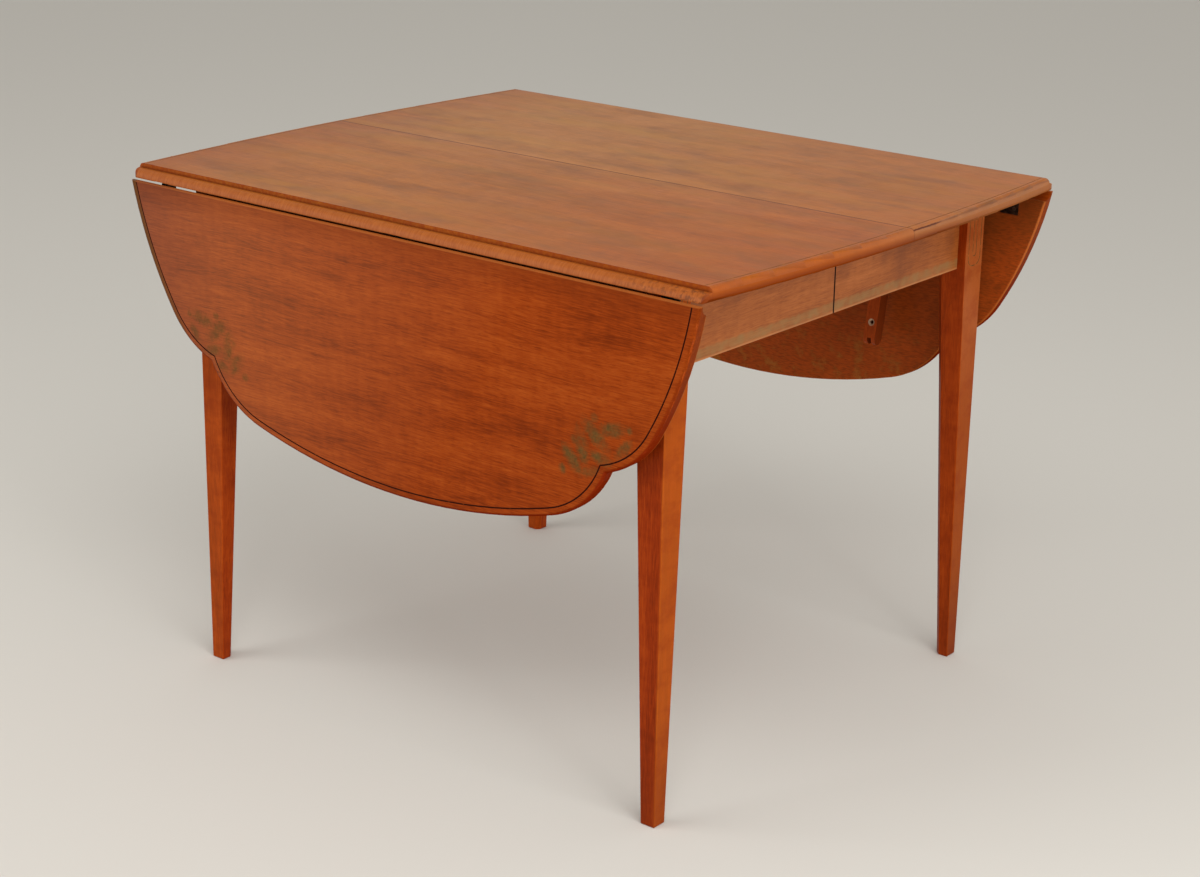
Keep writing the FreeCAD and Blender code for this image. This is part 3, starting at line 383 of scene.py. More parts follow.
# Bare steel screws dulled by age: grey with brown spots, three along each fixed bar
SCREW_RADIUS = 3.8 * mm
SCREW_SHARES = (0.08, 0.5, 0.92)
slide_screw = metal("slide_screw_steel", "#8C857A", "#5E564B", 0.4)
for side in SIDES:
    for end in ENDS:
        across, along, up = zip(*nodes[f"{end}_slide_{side}"].bound_box)
        middle, first, last, low = (min(across) + max(across)) / 2, min(along), max(along), min(up)
        for number, share in enumerate(SCREW_SHARES):
            spot = Vector((middle, first + (last - first) * share, low))
            slotted_head(f"{end}_{side}_slide_screw_{number}", spot, SCREW_RADIUS, f"{side}_half",
                         slide_screw)

# Half tops: two panels of glued maple boards that meet at a seam, with bowed and rounded ends and the rule
# joint's quarter round along the leaf. The stain is darkest in the joint's step and rubbed off its round.
HINGE_LINE, TOP_HIGH, TOP_THICK, SEAM_Y = 404 * mm, 750 * mm, 19 * mm, 10 * mm
END_HALF, END_BOW = 507 * mm, 20 * mm
END_RADIUS = (HINGE_LINE ** 2 + END_BOW ** 2) / (2 * END_BOW)
END_CENTRE = END_HALF + END_BOW - END_RADIUS
STEP_FOOT, ROUND_OUT = 6.5 * mm, 14 * mm

# Honey-brown maple under thin satin lacquer: long soft streaks, a low sheen on top and none below
top_wood, place, colour, height = maple("top_maple", "#BE793D", "#AB682F", "#8C5424")
tree = top_wood.node_tree
spot = add(tree, "SeparateXYZ", {0: place})
out_y = add(tree, "Math", {0: spot.outputs["Y"]}, operation="ABSOLUTE")
below = add(tree, "Math", {0: TOP_HIGH, 1: spot.outputs["Z"]}, operation="SUBTRACT")
past = add(tree, "Math", {0: out_y, 1: HINGE_LINE}, operation="SUBTRACT")
from_seam = add(tree, "Math", {0: spot.outputs["Y"], 1: SEAM_Y}, operation="SUBTRACT")
rear = add(tree, "Math", {0: from_seam, 1: 0.0}, operation="GREATER_THAN")
ragged = add(tree, "TexNoise", {"Vector": place, "Scale": 1 / (5 * mm), "Detail": 5.0})

# Some streaks have gone golden, and the top is painted redder towards its right-hand end, standing for a
# weaker reflection there
golden = add(tree, "Mapping", {"Vector": place, "Scale": (1 / (280 * mm), 1 / (38 * mm), 1 / (38 * mm))})
golden = add(tree, "TexNoise", {"Vector": golden, "Scale": 1.0, "Detail": 3.0})
golden = add(tree, "MapRange", {0: golden, 1: 0.45, 2: 0.68, 3: 0.0, 4: 0.5})
colour = add(tree, "Mix", {"Factor": golden, "A": colour, "B": tone("#AC7428")}, data_type="RGBA")
weaker_reflection = add(tree, "MapRange", {0: spot.outputs["X"], 1: -120 * mm, 2: END_HALF, 3: 0.0, 4: 0.85})
colour = add(tree, "Mix", {"Factor": weaker_reflection, "A": colour, "B": tone("#F9D172")}, data_type="RGBA",
             blend_type="MULTIPLY")

# The front half is warmer and the rear half paler
front = add(tree, "MapRange", {0: from_seam, 1: 30 * mm, 2: -150 * mm})
front = add(tree, "Math", {0: front, 1: rear}, operation="SUBTRACT", use_clamp=True)
colour = add(tree, "Mix", {"Factor": front, "A": colour, "B": tone("#FEF1B0")}, data_type="RGBA",
             blend_type="MULTIPLY")
colour = add(tree, "Mix", {"Factor": rear, "A": colour, "B": tone("#2C2208")}, data_type="RGBA",
             blend_type="ADD")

# Use has left soft dark smudges, wider than the grain, and the left-hand end a little darker
smudge = add(tree, "Mapping", {"Vector": place, "Scale": (1 / (95 * mm), 1 / (48 * mm), 1 / (48 * mm))})
smudge = add(tree, "TexNoise", {"Vector": smudge, "Scale": 1.0, "Detail": 4.0, "Roughness": 0.6})
smudge = add(tree, "MapRange", {0: smudge, 1: 0.5, 2: 0.72, 3: 0.0, 4: 0.5})
colour = add(tree, "Mix", {"Factor": smudge, "A": colour, "B": tone("#7E4A20")}, data_type="RGBA")
left_end = add(tree, "MapRange", {0: spot.outputs["X"], 1: -330 * mm, 2: -END_HALF, 3: 0.0, 4: 0.7})
colour = add(tree, "Mix", {"Factor": left_end, "A": colour, "B": tone("#EED3BC")}, data_type="RGBA",
             blend_type="MULTIPLY")

# The quarter round is rubbed bare to a fuzzy ochre, most along its foot, with dark specks at one corner
on_round = add(tree, "MapRange", {0: past, 1: 0.3 * mm, 2: 0.8 * mm})
fuzz = add(tree, "Mapping", {"Vector": place, "Scale": (1 / (1.8 * mm), 1 / (14 * mm), 1 / (14 * mm))})
fuzz = add(tree, "TexNoise", {"Vector": fuzz, "Scale": 1.0, "Detail": 3.0})
bare = add(tree, "MapRange", {0: past, 1: 1 * mm, 2: 11 * mm, 3: 0.5, 4: 1.0})
bare = add(tree, "Math", {0: bare, 1: on_round}, operation="MULTIPLY")
hatch = add(tree, "MapRange", {0: fuzz, 1: 0.36, 2: 0.64})
ochre = add(tree, "Mix", {"Factor": hatch, "A": tone("#994E1D"), "B": tone("#A95C27")}, data_type="RGBA")
colour = add(tree, "Mix", {"Factor": bare, "A": colour, "B": ochre}, data_type="RGBA")
SPECKED_CORNER = (END_HALF, -HINGE_LINE - ROUND_OUT, TOP_HIGH - TOP_THICK)
to_corner = add(tree, "VectorMath", {0: place, 1: SPECKED_CORNER}, operation="DISTANCE").outputs["Value"]
at_corner = add(tree, "MapRange", {0: to_corner, 1: 170 * mm, 2: 25 * mm})
specks = add(tree, "MapRange", {0: ragged, 1: 0.48, 2: 0.60})
specks = add(tree, "Math", {0: specks, 1: at_corner}, operation="MULTIPLY")
specks = add(tree, "Math", {0: specks, 1: on_round}, operation="MULTIPLY")
colour = add(tree, "Mix", {"Factor": specks, "A": colour, "B": tone("#7C4019")}, data_type="RGBA")

# The riser of the step is redder, and stain lies dark in the corner at its foot
inward = add(tree, "Math", {0: below, 1: STEP_FOOT}, operation="SUBTRACT")
inward = add(tree, "Math", {0: inward}, operation="ABSOLUTE")
beside = add(tree, "Math", {0: past}, operation="ABSOLUTE")
riser = add(tree, "MapRange", {0: beside, 1: 1.8 * mm, 2: 0.2 * mm, 3: 0.0, 4: 0.9})
uneven = add(tree, "MapRange", {0: ragged, 1: 0.35, 2: 0.6, 3: 0.55, 4: 1.0})
riser = add(tree, "Math", {0: riser, 1: uneven}, operation="MULTIPLY")
colour = add(tree, "Mix", {"Factor": riser, "A": colour, "B": tone("#8C3B12")}, data_type="RGBA")
quirk = add(tree, "Math", {0: inward, 1: beside}, operation="MAXIMUM")
quirk = add(tree, "MapRange", {0: quirk, 1: 3.2 * mm, 2: 0.6 * mm, 3: 0.0, 4: 0.5})
colour = add(tree, "Mix", {"Factor": quirk, "A": colour, "B": tone("#59250A")}, data_type="RGBA")

# Dust and stain darken the seam between the halves
to_seam = add(tree, "Math", {0: from_seam}, operation="ABSOLUTE")
seam = add(tree, "MapRange", {0: to_seam, 1: 2.2 * mm, 2: 0.5 * mm, 3: 0.0, 4: 0.85})
colour = add(tree, "Mix", {"Factor": seam, "A": colour, "B": tone("#56270F")}, data_type="RGBA")

# The rounded ends are end grain: redder on the front half, paler on the rear half, partly as a painted
# reflection, and darkened below with painted shade
bow = add(tree, "Math", {0: spot.outputs["Y"], 1: spot.outputs["Y"]}, operation="MULTIPLY")
bow = add(tree, "Math", {0: END_RADIUS ** 2, 1: bow}, operation="SUBTRACT")
bow = add(tree, "Math", {0: bow}, operation="SQRT")
bow = add(tree, "Math", {0: bow, 1: END_CENTRE}, operation="ADD")
out_x = add(tree, "Math", {0: spot.outputs["X"]}, operation="ABSOLUTE")
from_end = add(tree, "Math", {0: bow, 1: out_x}, operation="SUBTRACT")
near_seam = add(tree, "MapRange", {0: from_seam, 1: -190 * mm, 2: 0.0, 3: 0.0, 4: 0.7})
near_seam = add(tree, "Math", {0: rear, 1: near_seam}, operation="MAXIMUM")
end_tone_and_reflection = add(tree, "Mix", {"Factor": near_seam, "A": tone("#A25121"), "B": tone("#9C6642")},
               data_type="RGBA")
end_grain = add(tree, "MapRange", {0: from_end, 1: 6.5 * mm, 2: 3.0 * mm, 3: 0.0, 4: 0.7})
colour = add(tree, "Mix", {"Factor": end_grain, "A": colour, "B": end_tone_and_reflection}, data_type="RGBA")
at_end = add(tree, "MapRange", {0: from_end, 1: 6.5 * mm, 2: 5.0 * mm})
low_half = add(tree, "MapRange", {0: below, 1: 5 * mm, 2: 14 * mm})
low_half = add(tree, "Math", {0: low_half, 1: at_end}, operation="MULTIPLY")
# Painted shade on the ends' lower half, strongest on the front half and beside the seam
end_shade = add(tree, "MapRange", {0: from_seam, 1: 60 * mm, 2: 240 * mm, 3: 0.75, 4: 0.3})
end_shade = add(tree, "Math", {0: low_half, 1: end_shade}, operation="MULTIPLY")
colour = add(tree, "Mix", {"Factor": end_shade, "A": colour, "B": tone("#6A2405")}, data_type="RGBA")

# The rear half's edge has a split under its upper arris, open beside the seam
SPLIT_BELOW, SPLIT_SHORT = 3.4 * mm, 75 * mm
split = add(tree, "Math", {0: ragged, 1: 1.6 * mm, 2: below}, operation="MULTIPLY_ADD")
split = add(tree, "Math", {0: split, 1: SPLIT_BELOW}, operation="SUBTRACT")
split = add(tree, "Math", {0: split}, operation="ABSOLUTE")
split = add(tree, "MapRange", {0: split, 1: 1.3 * mm, 2: 0.4 * mm})
opened = add(tree, "MapRange", {0: from_seam, 1: SPLIT_SHORT, 2: 0.8 * SPLIT_SHORT, 3: 0.3, 4: 0.9})
split = add(tree, "Math", {0: split, 1: opened}, operation="MULTIPLY")
split = add(tree, "Math", {0: split, 1: rear}, operation="MULTIPLY")
split = add(tree, "Math", {0: split, 1: at_end}, operation="MULTIPLY")
colour = add(tree, "Mix", {"Factor": split, "A": colour, "B": tone("#4E1404")}, data_type="RGBA")

# The underside is a duller brown, and faces that look down have no sheen
under = add(tree, "MapRange", {0: below, 1: TOP_THICK - 1.2 * mm, 2: TOP_THICK - 0.2 * mm, 3: 0.0, 4: 0.5})
colour = add(tree, "Mix", {"Factor": under, "A": colour, "B": tone("#7A4321")}, data_type="RGBA")
facing = add(tree, "SeparateXYZ", {0: add(tree, "TexCoord").outputs["Normal"]}).outputs["Z"]
dull = add(tree, "MapRange", {0: facing, 1: 0.3, 2: -0.2, 3: 0.125, 4: 0.0})
dress(lacquer(top_wood, colour, height, sheen=dull), "front_top", "rear_top")

# A line along each end, nearly rubbed away: little darker than the wood
END_LINE, END_LINE_INSET = 1.6 * mm, 12.5 * mm
SEAM_STOP, STEP_STOP = 0.4 * mm, 0.5 * mm
END_LINE_STEPS = 40
faint_line = striping("worn_striping_paint", "#7C4A1F", "#A4621C", 0.12)
for side, way in SIDES.items():
    for end, out in ENDS.items():
        reach = END_RADIUS - END_LINE_INSET
        first, last = SEAM_Y + way * SEAM_STOP, way * (HINGE_LINE - STEP_STOP)
        steps = [first + (last - first) * step / END_LINE_STEPS for step in range(END_LINE_STEPS + 1)]
        path = [Vector((out * (END_CENTRE + math.sqrt(reach ** 2 - y ** 2)), y, TOP_HIGH)) for y in steps]
        painted_line(f"{side}_{end}_top_line", path, (0, 0, 1), END_LINE, f"{side}_half", faint_line)

# Table locks and dowels: two flat steel levers under the seam turn over keepers on the other half, and
# three hardwood pins in the seam bring the halves level.

# Bright rolled steel, handled smooth: sharper highlights than the other fittings
bright = metal("bright_steel", "#9C968A", "#6E685C", 0.33)
dress(bright, "left_lock_lever", "right_lock_lever", "lock_pivots", "lock_keepers")

# Bare birch dowels, pale and dull
pin_wood, place, colour, height = maple("dowel_birch", "#D6B78A", "#C39F6C", "#A27C4B", grain="Y",
                                        board=1.0)
dress(lacquer(pin_wood, colour, height, gloss=0.6), "seam_dowels")

# Hinges: back-flap hinges of pressed steel, browned nearly black, three to a leaf. The plate is screwed
# under the top, the longer strap under the leaf, and the pin lies at the centre of the rule joint.

# Browned steel: nearly black, with rusty spots and a dull gleam; the screws are greyer
browned = metal("browned_steel", "#2C2622", "#4A3B30", 0.45)
HINGES = [f"{side}_{spot}_hinge" for side in SIDES for spot in ("left", "middle", "right")]
dress(browned, *[hinge + part for hinge in HINGES for part in ("_plate", "_strap")],
      "front_hinge_pins", "rear_hinge_pins")
dress(metal("screw_steel", "#5A5148", "#3A322B", 0.42),
      *[f"{side}_{part}_screws" for side in SIDES for part in ("plate", "strap")])

# Drop leaves: scrolled maple boards that hang from the hinges, coved to run round the top's quarter
# round. The outer face is stained and lined in black, with the worn remains of a stencilled spray in each
# corner, and painted shade where its edges look down. The inner face is darker, with painted shade near
# the hinge, and rubbed along its eased rim, which also carries a painted highlight.
LEAF_LEAN = math.radians(2.3)
PIVOT_HIGH, PIVOT_DROP = 729.5 * mm, 1.5 * mm
LEAF_HALF, LEAF_DROP = 504 * mm, 362 * mm
SIDE_JOIN = Vector((435.1, 183)) * mm
CUSP = Vector((359.4, 242.8)) * mm
SIDE_RADIUS, HIP_RADIUS, SHOULDER_RADIUS = 564 * mm, 134 * mm, 144 * mm
LOBE_RISE = 71.9 * mm
LEAF_LINE, LINE_INSET = 2 * mm, 11.2 * mm
LEAF_TOP, LINE_TOP = 0.3 * mm, 4 * mm
ARC_STEPS, LOBE_STEPS = 24, 40
LOBE_RADIUS = (CUSP.x ** 2 + LOBE_RISE ** 2) / (2 * LOBE_RISE)


def meet(first, first_reach, second, second_reach):
    """The point at two given distances from two points, on the right of the way between them."""
    way = second - first
    along = (first_reach ** 2 - second_reach ** 2 + way.length_squared) / (2 * way.length)
    off = math.sqrt(first_reach ** 2 - along ** 2)
    way.normalize()
    return first + way * along + Vector((way.y, -way.x)) * off


leaf_end = Vector((LEAF_HALF, LEAF_TOP))
side_centre = min((meet(SIDE_JOIN, SIDE_RADIUS, leaf_end, SIDE_RADIUS),
                   meet(leaf_end, SIDE_RADIUS, SIDE_JOIN, SIDE_RADIUS)), key=lambda centre: centre.x)
hip_centre = side_centre + (SIDE_JOIN - side_centre) * (1 - HIP_RADIUS / SIDE_RADIUS)
lobe_centre = Vector((0, LEAF_DROP - LOBE_RADIUS))
shoulder_centre = min((meet(lobe_centre, LOBE_RADIUS - SHOULDER_RADIUS, CUSP, SHOULDER_RADIUS),
                       meet(CUSP, SHOULDER_RADIUS, lobe_centre, LOBE_RADIUS - SHOULDER_RADIUS)),
                      key=lambda centre: centre.x)


def arc(centre, radius, first, last, steps):
    """Points round a centre from the bearing of one point to that of another."""
    begin = math.atan2(first.y - centre.y, first.x - centre.x)
    end = math.atan2(last.y - centre.y, last.x - centre.x)
    turns = [begin + (end - begin) * step / steps for step in range(steps + 1)]
    return [centre + Vector((math.cos(turn), math.sin(turn))) * radius for turn in turns]


cusp_line = min((meet(hip_centre, HIP_RADIUS - LINE_INSET, shoulder_centre, SHOULDER_RADIUS - LINE_INSET),
                 meet(shoulder_centre, SHOULDER_RADIUS - LINE_INSET, hip_centre, HIP_RADIUS - LINE_INSET)),
                key=lambda point: (point - CUSP).length)
lobe_start = lobe_centre + (shoulder_centre - lobe_centre).normalized() * LOBE_RADIUS
line_top, lobe_low = Vector((LEAF_HALF, LINE_TOP)), Vector((0, LEAF_DROP))
half_line = arc(side_centre, SIDE_RADIUS - LINE_INSET, line_top, SIDE_JOIN, ARC_STEPS)
half_line += arc(hip_centre, HIP_RADIUS - LINE_INSET, SIDE_JOIN, cusp_line, ARC_STEPS)[1:]
lobe_line = arc(shoulder_centre, SHOULDER_RADIUS - LINE_INSET, cusp_line, lobe_start, ARC_STEPS)
lobe_line += arc(lobe_centre, LOBE_RADIUS - LINE_INSET, lobe_start, lobe_low, LOBE_STEPS)[1:]

# The spray's leaves and berries: millimetres along and down the leaf, turn in degrees, half length and half
# width, which the soft rims of the stencil pass a little
SPRAY = ((345, 196, 40, 24, 9), (372, 182, -15, 21, 8), (322, 214, 75, 22, 8.5), (352, 224, 10, 17, 7),
         (306, 236, 50, 20, 8), (388, 206, -50, 15, 6.5), (334, 246, -20, 14, 6), (331, 189, 0, 5.5, 5.5),
         (343, 173, 0, 5, 5), (310, 208, 0, 5, 5), (290, 252, 0, 5.5, 5.5), (398, 178, 0, 4.5, 4.5))
SOFT_LONG, SOFT_WIDE = 1.2, 1.3


def leaf_wood(side, way):
    """Red-brown maple in satin lacquer, with a painted reflection on its outer face and darker below the
    joint;
    dark and blotched inside, with painted shade near the hinge.

    Drawn in the leaf's own length u, drop v and rise out from the hinge towards its outer face."""
    material, place, colour, height = maple(f"{side}_leaf_maple", "#AB4D14", "#963B08", "#702702",
                                            figure=1.2)
    tree = material.node_tree
    hinge = (0, HINGE_LINE * way, PIVOT_HIGH)
    from_hinge = add(tree, "VectorMath", {0: place, 1: hinge}, operation="SUBTRACT")
    down = (0, -way * math.sin(LEAF_LEAN), -math.cos(LEAF_LEAN))
    outward = (0, way * math.cos(LEAF_LEAN), -math.sin(LEAF_LEAN))
    along = add(tree, "SeparateXYZ", {0: from_hinge}).outputs["X"]
    u = add(tree, "Math", {0: along}, operation="ABSOLUTE")
    v = add(tree, "VectorMath", {0: from_hinge, 1: down}, operation="DOT_PRODUCT").outputs["Value"]
    rise = add(tree, "VectorMath", {0: from_hinge, 1: outward}, operation="DOT_PRODUCT").outputs["Value"]
    face = PIVOT_DROP + TOP_THICK
    outer = add(tree, "MapRange", {0: rise, 1: face - 0.4 * mm, 2: face - 0.05 * mm})
    inner = add(tree, "MapRange", {0: rise, 1: PIVOT_DROP + 1.5 * mm, 2: PIVOT_DROP + 0.2 * mm})
    flat = add(tree, "CombineXYZ", {"X": u, "Y": v})

    # The outer face carries a painted reflection, a pale veil growing towards its upper left
    fade_and_sheen = add(tree, "Math", {0: v, 1: 0.6, 2: along}, operation="MULTIPLY_ADD")
    fade_and_sheen = add(tree, "MapRange", {0: fade_and_sheen, 1: 250 * mm, 2: -480 * mm})
    fade_and_sheen = add(tree, "Math", {0: fade_and_sheen, 1: outer}, operation="MULTIPLY")
    colour = add(tree, "Mix", {"Factor": fade_and_sheen, "A": colour, "B": tone("#464130")}, data_type="RGBA",
                 blend_type="ADD")

    # A loose spray of leaves and berries in each corner, in bronze-green powder worn down to a stain
    ragged = add(tree, "TexNoise", {"Vector": place, "Scale": 1 / (4 * mm), "Detail": 4.0})
    worn = add(tree, "TexNoise", {"Vector": place, "Scale": 1 / (22 * mm), "Detail": 6.0, "Roughness": 0.7})
    spray = None
    for x, y, turn, long, wide in SPRAY:
        petal = add(tree, "Mapping", {"Vector": flat, "Location": (x * mm, y * mm, 0),
                                      "Rotation": (0, 0, math.radians(turn)),
                                      "Scale": (long * SOFT_LONG * mm, wide * SOFT_WIDE * mm, 1)},
                    vector_type="TEXTURE")
        petal = add(tree, "VectorMath", {0: petal}, operation="LENGTH").outputs["Value"]
        if spray is None:
            spray = petal
        else:
            spray = add(tree, "Math", {0: spray, 1: petal}, operation="MINIMUM")
    spray = add(tree, "Math", {0: ragged, 1: spray}, operation="ADD")
    spray = add(tree, "MapRange", {0: spray, 1: 1.70, 2: 1.0})
    left = add(tree, "MapRange", {0: worn, 1: 0.40, 2: 0.60, 3: 0.25, 4: 0.9})
    spray = add(tree, "Math", {0: spray, 1: left}, operation="MULTIPLY")
    spray = add(tree, "Math", {0: spray, 1: outer}, operation="MULTIPLY")
    thinned = add(tree, "MapRange", {0: along, 1: -100 * mm, 2: 100 * mm, 3: 0.8, 4: 1.0})
    spray = add(tree, "Math", {0: spray, 1: thinned}, operation="MULTIPLY")
    bronze = add(tree, "Mix", {"Factor": ragged, "A": tone("#3A2D12"), "B": tone("#7A5A2C")},
                 data_type="RGBA")
    colour = add(tree, "Mix", {"Factor": spray, "A": colour, "B": bronze}, data_type="RGBA")

    # The face is darker just below the joint, and the lip along it is rubbed pale and carries a painted
    # highlight
    darker_below_joint = add(tree, "MapRange", {0: v, 1: 40 * mm, 2: 2 * mm, 3: 0.0, 4: 0.45})
    colour = add(tree, "Mix", {"Factor": darker_below_joint, "A": colour, "B": tone("#712C08")}, data_type="RGBA")
    lip_highlight = add(tree, "MapRange", {0: v, 1: 2.0 * mm, 2: 0.8 * mm, 3: 0.0, 4: 0.4})
    colour = add(tree, "Mix", {"Factor": lip_highlight, "A": colour, "B": tone("#C9793A")}, data_type="RGBA")

    # The edge carries painted shade where it looks down and is redder towards the foot; the left end is
    # dark beyond its line
    facing = add(tree, "SeparateXYZ", {0: add(tree, "TexCoord").outputs["Normal"]}).outputs["Z"]
    shaded = add(tree, "MapRange", {0: facing, 1: -0.05, 2: -0.5, 3: 0.0, 4: 0.85})
    colour = add(tree, "Mix", {"Factor": shaded, "A": colour, "B": tone("#522004")}, data_type="RGBA")
    reddened = add(tree, "Math", {0: outer, 1: inner}, operation="ADD")
    reddened = add(tree, "MapRange", {0: reddened, 1: 1.0, 2: 0.2, 3: 0.0, 4: 0.6})
    lower = add(tree, "MapRange", {0: v, 1: 50 * mm, 2: 200 * mm})
    reddened = add(tree, "Math", {0: reddened, 1: lower}, operation="MULTIPLY")
    colour = add(tree, "Mix", {"Factor": reddened, "A": colour, "B": tone("#862007")}, data_type="RGBA")
    far_left = add(tree, "MapRange", {0: along, 1: -300 * mm, 2: -470 * mm})
    colour = add(tree, "Mix", {"Factor": far_left, "A": colour, "B": tone("#DDDCF6")}, data_type="RGBA",
                 blend_type="MULTIPLY")
    edge = add(tree, "VectorMath", {0: flat, 1: (*side_centre, 0)}, operation="DISTANCE").outputs["Value"]
    edge = add(tree, "MapRange", {0: edge, 1: SIDE_RADIUS - LINE_INSET, 2: SIDE_RADIUS - 0.8 * LINE_INSET,
                                  3: 0.0, 4: 0.85})
    edge = add(tree, "Math", {0: edge, 1: far_left}, operation="MULTIPLY")
    colour = add(tree, "Mix", {"Factor": edge, "A": colour, "B": tone("#633E1C")}, data_type="RGBA")

    # The inner face took less care: brown, blotched, and worn to yellow low down and along the rim, where
    # it also carries a painted highlight; painted shade darkens it near the hinge
    lighter = add(tree, "Math", {0: inner, 1: 0.6}, operation="MULTIPLY")
    colour = add(tree, "Mix", {"Factor": lighter, "A": colour, "B": tone("#B0410F")}, data_type="RGBA")
    dark = add(tree, "MapRange", {0: worn, 1: 0.42, 2: 0.66, 3: 0.0, 4: 0.42})
    dark = add(tree, "Math", {0: dark, 1: inner}, operation="MULTIPLY")
    colour = add(tree, "Mix", {"Factor": dark, "A": colour, "B": tone("#66270A")}, data_type="RGBA")
    streaked = add(tree, "MapRange", {0: height, 1: 0.70, 2: 0.96, 3: 0.0, 4: 0.45})
    streaked = add(tree, "Math", {0: streaked, 1: inner}, operation="MULTIPLY")
    colour = add(tree, "Mix", {"Factor": streaked, "A": colour, "B": tone("#3C1704")}, data_type="RGBA")
    # Painted shade on the inner face near the hinge
    high = add(tree, "MapRange", {0: v, 1: 120 * mm, 2: 20 * mm, 3: 0.0, 4: 0.6})
    high = add(tree, "Math", {0: high, 1: inner}, operation="MULTIPLY")
    colour = add(tree, "Mix", {"Factor": high, "A": colour, "B": tone("#3A1505")}, data_type="RGBA")
    low = add(tree, "MapRange", {0: v, 1: 210 * mm, 2: 330 * mm})
    bald = add(tree, "MapRange", {0: worn, 1: 0.52, 2: 0.68, 3: 0.0, 4: 0.62})
    bald = add(tree, "Math", {0: bald, 1: low}, operation="MULTIPLY")
    bald = add(tree, "Math", {0: bald, 1: inner}, operation="MULTIPLY")
    colour = add(tree, "Mix", {"Factor": bald, "A": colour, "B": tone("#A66E2C")}, data_type="RGBA")
    # The eased rim is worn paler and carries a painted highlight
    rim_wear_and_highlight = add(tree, "Math", {0: rise, 1: PIVOT_DROP + 1.6 * mm}, operation="SUBTRACT")
    rim_wear_and_highlight = add(tree, "Math", {0: rim_wear_and_highlight}, operation="ABSOLUTE")
    rim_wear_and_highlight = add(tree, "MapRange", {0: rim_wear_and_highlight, 1: 2.0 * mm, 2: 0.8 * mm, 3: 0.0, 4: 0.55})
    colour = add(tree, "Mix", {"Factor": rim_wear_and_highlight, "A": colour, "B": tone("#B0662C")}, data_type="RGBA")
    dull = add(tree, "MapRange", {0: facing, 1: -0.05, 2: -0.5, 3: 0.05, 4: 0.0})
    return lacquer(material, colour, height, sheen=dull)


# Black striping paint, thin and even: a crisp dark line with hardly any gloss
edge_line = striping("black_striping_paint", "#2A0902", "#7E3A14", 0.0)
for side, way in SIDES.items():
    dress(leaf_wood(side, way), f"{side}_leaf")
    down = Vector((0, -way * math.sin(LEAF_LEAN), -math.cos(LEAF_LEAN)))
    outward = Vector((0, way * math.cos(LEAF_LEAN), -math.sin(LEAF_LEAN)))
    face = Vector((0, HINGE_LINE * way, PIVOT_HIGH)) + outward * (PIVOT_DROP + TOP_THICK)
    for end, sign in ENDS.items():
        path = [face + down * point.y + Vector((sign * point.x, 0, 0)) for point in half_line]
        painted_line(f"{side}_leaf_{end}_line", path, outward, LEAF_LINE, f"{side}_leaf", edge_line)
    across = lobe_line + [Vector((-point.x, point.y)) for point in reversed(lobe_line[:-1])]
    path = [face + down * point.y + Vector((point.x, 0, 0)) for point in across]
    painted_line(f"{side}_leaf_lobe_line", path, outward, LEAF_LINE, f"{side}_leaf", edge_line)

# Leaf props: square maple arms, two to a leaf, that hang from steel brackets on the side rails and swing
# out under the raised leaf. Each has a bored, countersunk hole and a notched tip.
HOLE, HOLE_RIM = (257 * mm, 348.5 * mm, 501.9 * mm), 4.6 * mm

# Red-brown maple, thinly finished: dull, with painted shade on the right-hand sides, chafed bare round the
# hole
prop_wood, place, colour, height = maple("prop_maple", "#B04A19", "#943B0F", "#722A0A", grain="Z",
                                         board=60 * mm)
tree = prop_wood.node_tree
mirrored = add(tree, "VectorMath", {0: place}, operation="ABSOLUTE")
from_hole = add(tree, "VectorMath", {0: mirrored, 1: HOLE}, operation="DISTANCE").outputs["Value"]
chafed = add(tree, "MapRange", {0: from_hole, 1: HOLE_RIM + 1.4 * mm, 2: HOLE_RIM, 3: 0.0, 4: 0.8})
colour = add(tree, "Mix", {"Factor": chafed, "A": colour, "B": tone("#B7A184")}, data_type="RGBA")
facing = add(tree, "SeparateXYZ", {0: add(tree, "TexCoord").outputs["Normal"]})
# Painted shade on faces that look right
right_side_shade = add(tree, "MapRange", {0: facing.outputs["X"], 1: 0.3, 2: 0.8, 3: 0.0, 4: 0.7})
colour = add(tree, "Mix", {"Factor": right_side_shade, "A": colour, "B": tone("#4E1C06")}, data_type="RGBA")
dress(lacquer(prop_wood, colour, height, gloss=0.42, sheen=0.1), *[f"{corner}_prop" for corner in CORNERS])
dress(zinc, *[f"{corner}_prop_bracket" for corner in CORNERS], "front_prop_bolts", "rear_prop_bolts")

# Floor, light and camera: a plain pale floor under soft studio light, seen from the front right.
FLOOR_HALF = 30.0
floor_mesh = bpy.data.meshes.new("floor")
floor_corners = [(x * FLOOR_HALF, y * FLOOR_HALF, 0) for x, y in ((-1, -1), (1, -1), (1, 1), (-1, 1))]
floor_mesh.from_pydata(floor_corners, [], [(0, 1, 2, 3)])
floor = bpy.data.objects.new("floor", floor_mesh)
bpy.context.scene.collection.objects.link(floor)

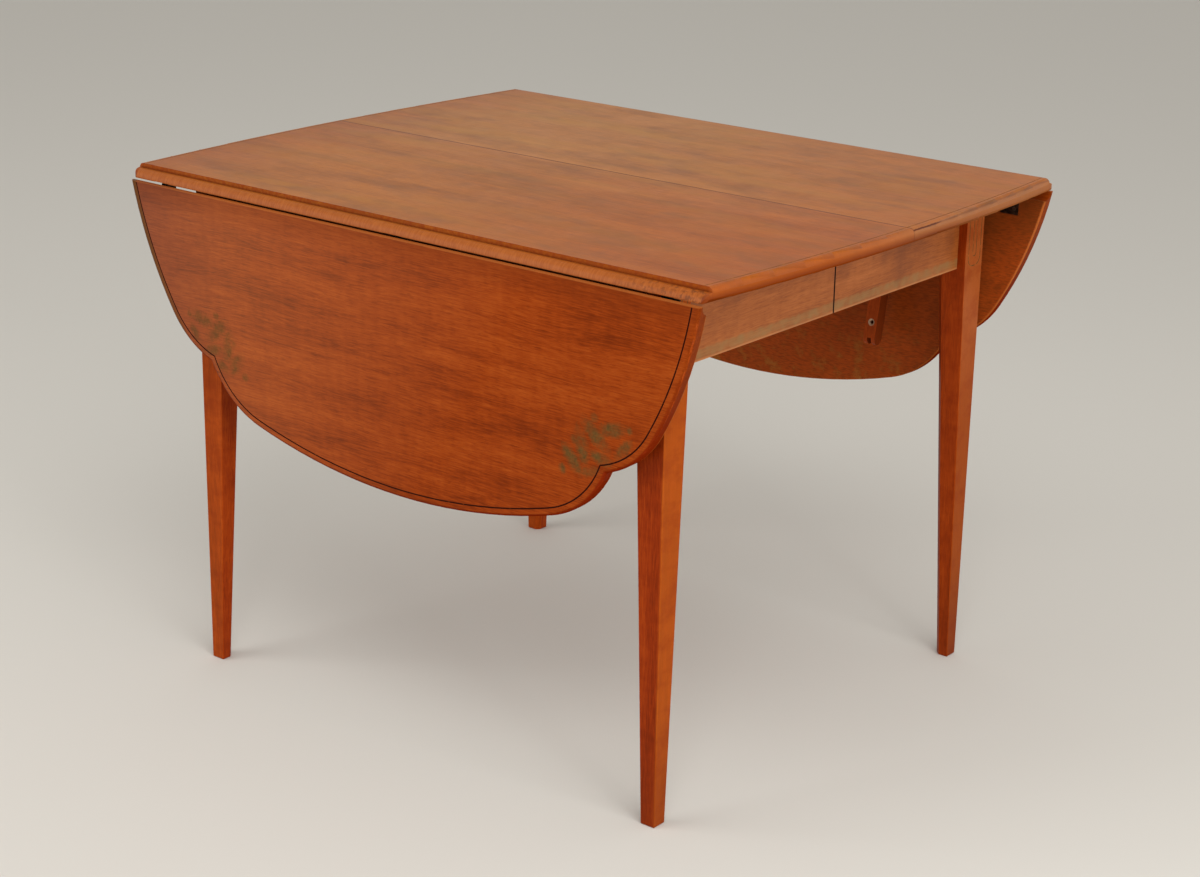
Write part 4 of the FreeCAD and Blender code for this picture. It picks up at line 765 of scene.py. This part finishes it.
# Matt paper: an even pale ground that only takes a soft shadow
paper = new_material("matt_paper")
sheet = add(paper.node_tree, "BsdfPrincipled", {"Base Color": tone("#DAD6CE"), "Roughness": 0.9})
add(paper.node_tree, "OutputMaterial", {"Surface": sheet})
floor_mesh.materials.append(paper)

world = bpy.data.worlds.new("studio")
world.use_nodes = True
world.node_tree.nodes.clear()
sky = add(world.node_tree, "Background", {"Color": tone("#F4F2EE"), "Strength": 0.6})
add(world.node_tree, "OutputWorld", {"Surface": sky})
bpy.context.scene.world = world

# Three soft boxes turned to the middle of the table: place, width and power
TABLE_MIDDLE = Vector((0, 0, 0.5))
LAMPS = {"key": ((2.6, -2.4, 3.8), 2.6, 85), "left": ((-2.6, -3.6, 2.8), 3.0, 66),
         "right": ((4.0, -1.0, 1.5), 2.0, 70)}
for name, (spot, size, watts) in LAMPS.items():
    lamp = bpy.data.lights.new(name, "AREA")
    lamp.size = size
    lamp.energy = watts
    holder = bpy.data.objects.new(name, lamp)
    holder.location = spot
    holder.rotation_euler = (TABLE_MIDDLE - Vector(spot)).to_track_quat("-Z", "Y").to_euler()
    bpy.context.scene.collection.objects.link(holder)

# The camera stands where the photograph's stood
EYE = Vector((2.099589, -2.601306, 1.474265))
YAW, PITCH, ROLL = (math.radians(angle) for angle in (-38.66298, -18.62852, 1.02647))
FOCAL, SENSOR = 71.614, 36
ahead = Vector((math.sin(YAW) * math.cos(PITCH), math.cos(YAW) * math.cos(PITCH), math.sin(PITCH)))
level = Vector((math.cos(YAW), -math.sin(YAW), 0))
upright = level.cross(ahead)
right = level * math.cos(ROLL) + upright * math.sin(ROLL)
above = upright * math.cos(ROLL) - level * math.sin(ROLL)
lens = bpy.data.cameras.new("camera")
lens.sensor_width = SENSOR
lens.lens = FOCAL
camera = bpy.data.objects.new("camera", lens)
camera.matrix_world = Matrix.Translation(EYE) @ Matrix((right, above, -ahead)).transposed().to_4x4()
bpy.context.scene.collection.objects.link(camera)
bpy.context.scene.camera = camera
bpy.context.scene.view_settings.view_transform = "Standard"
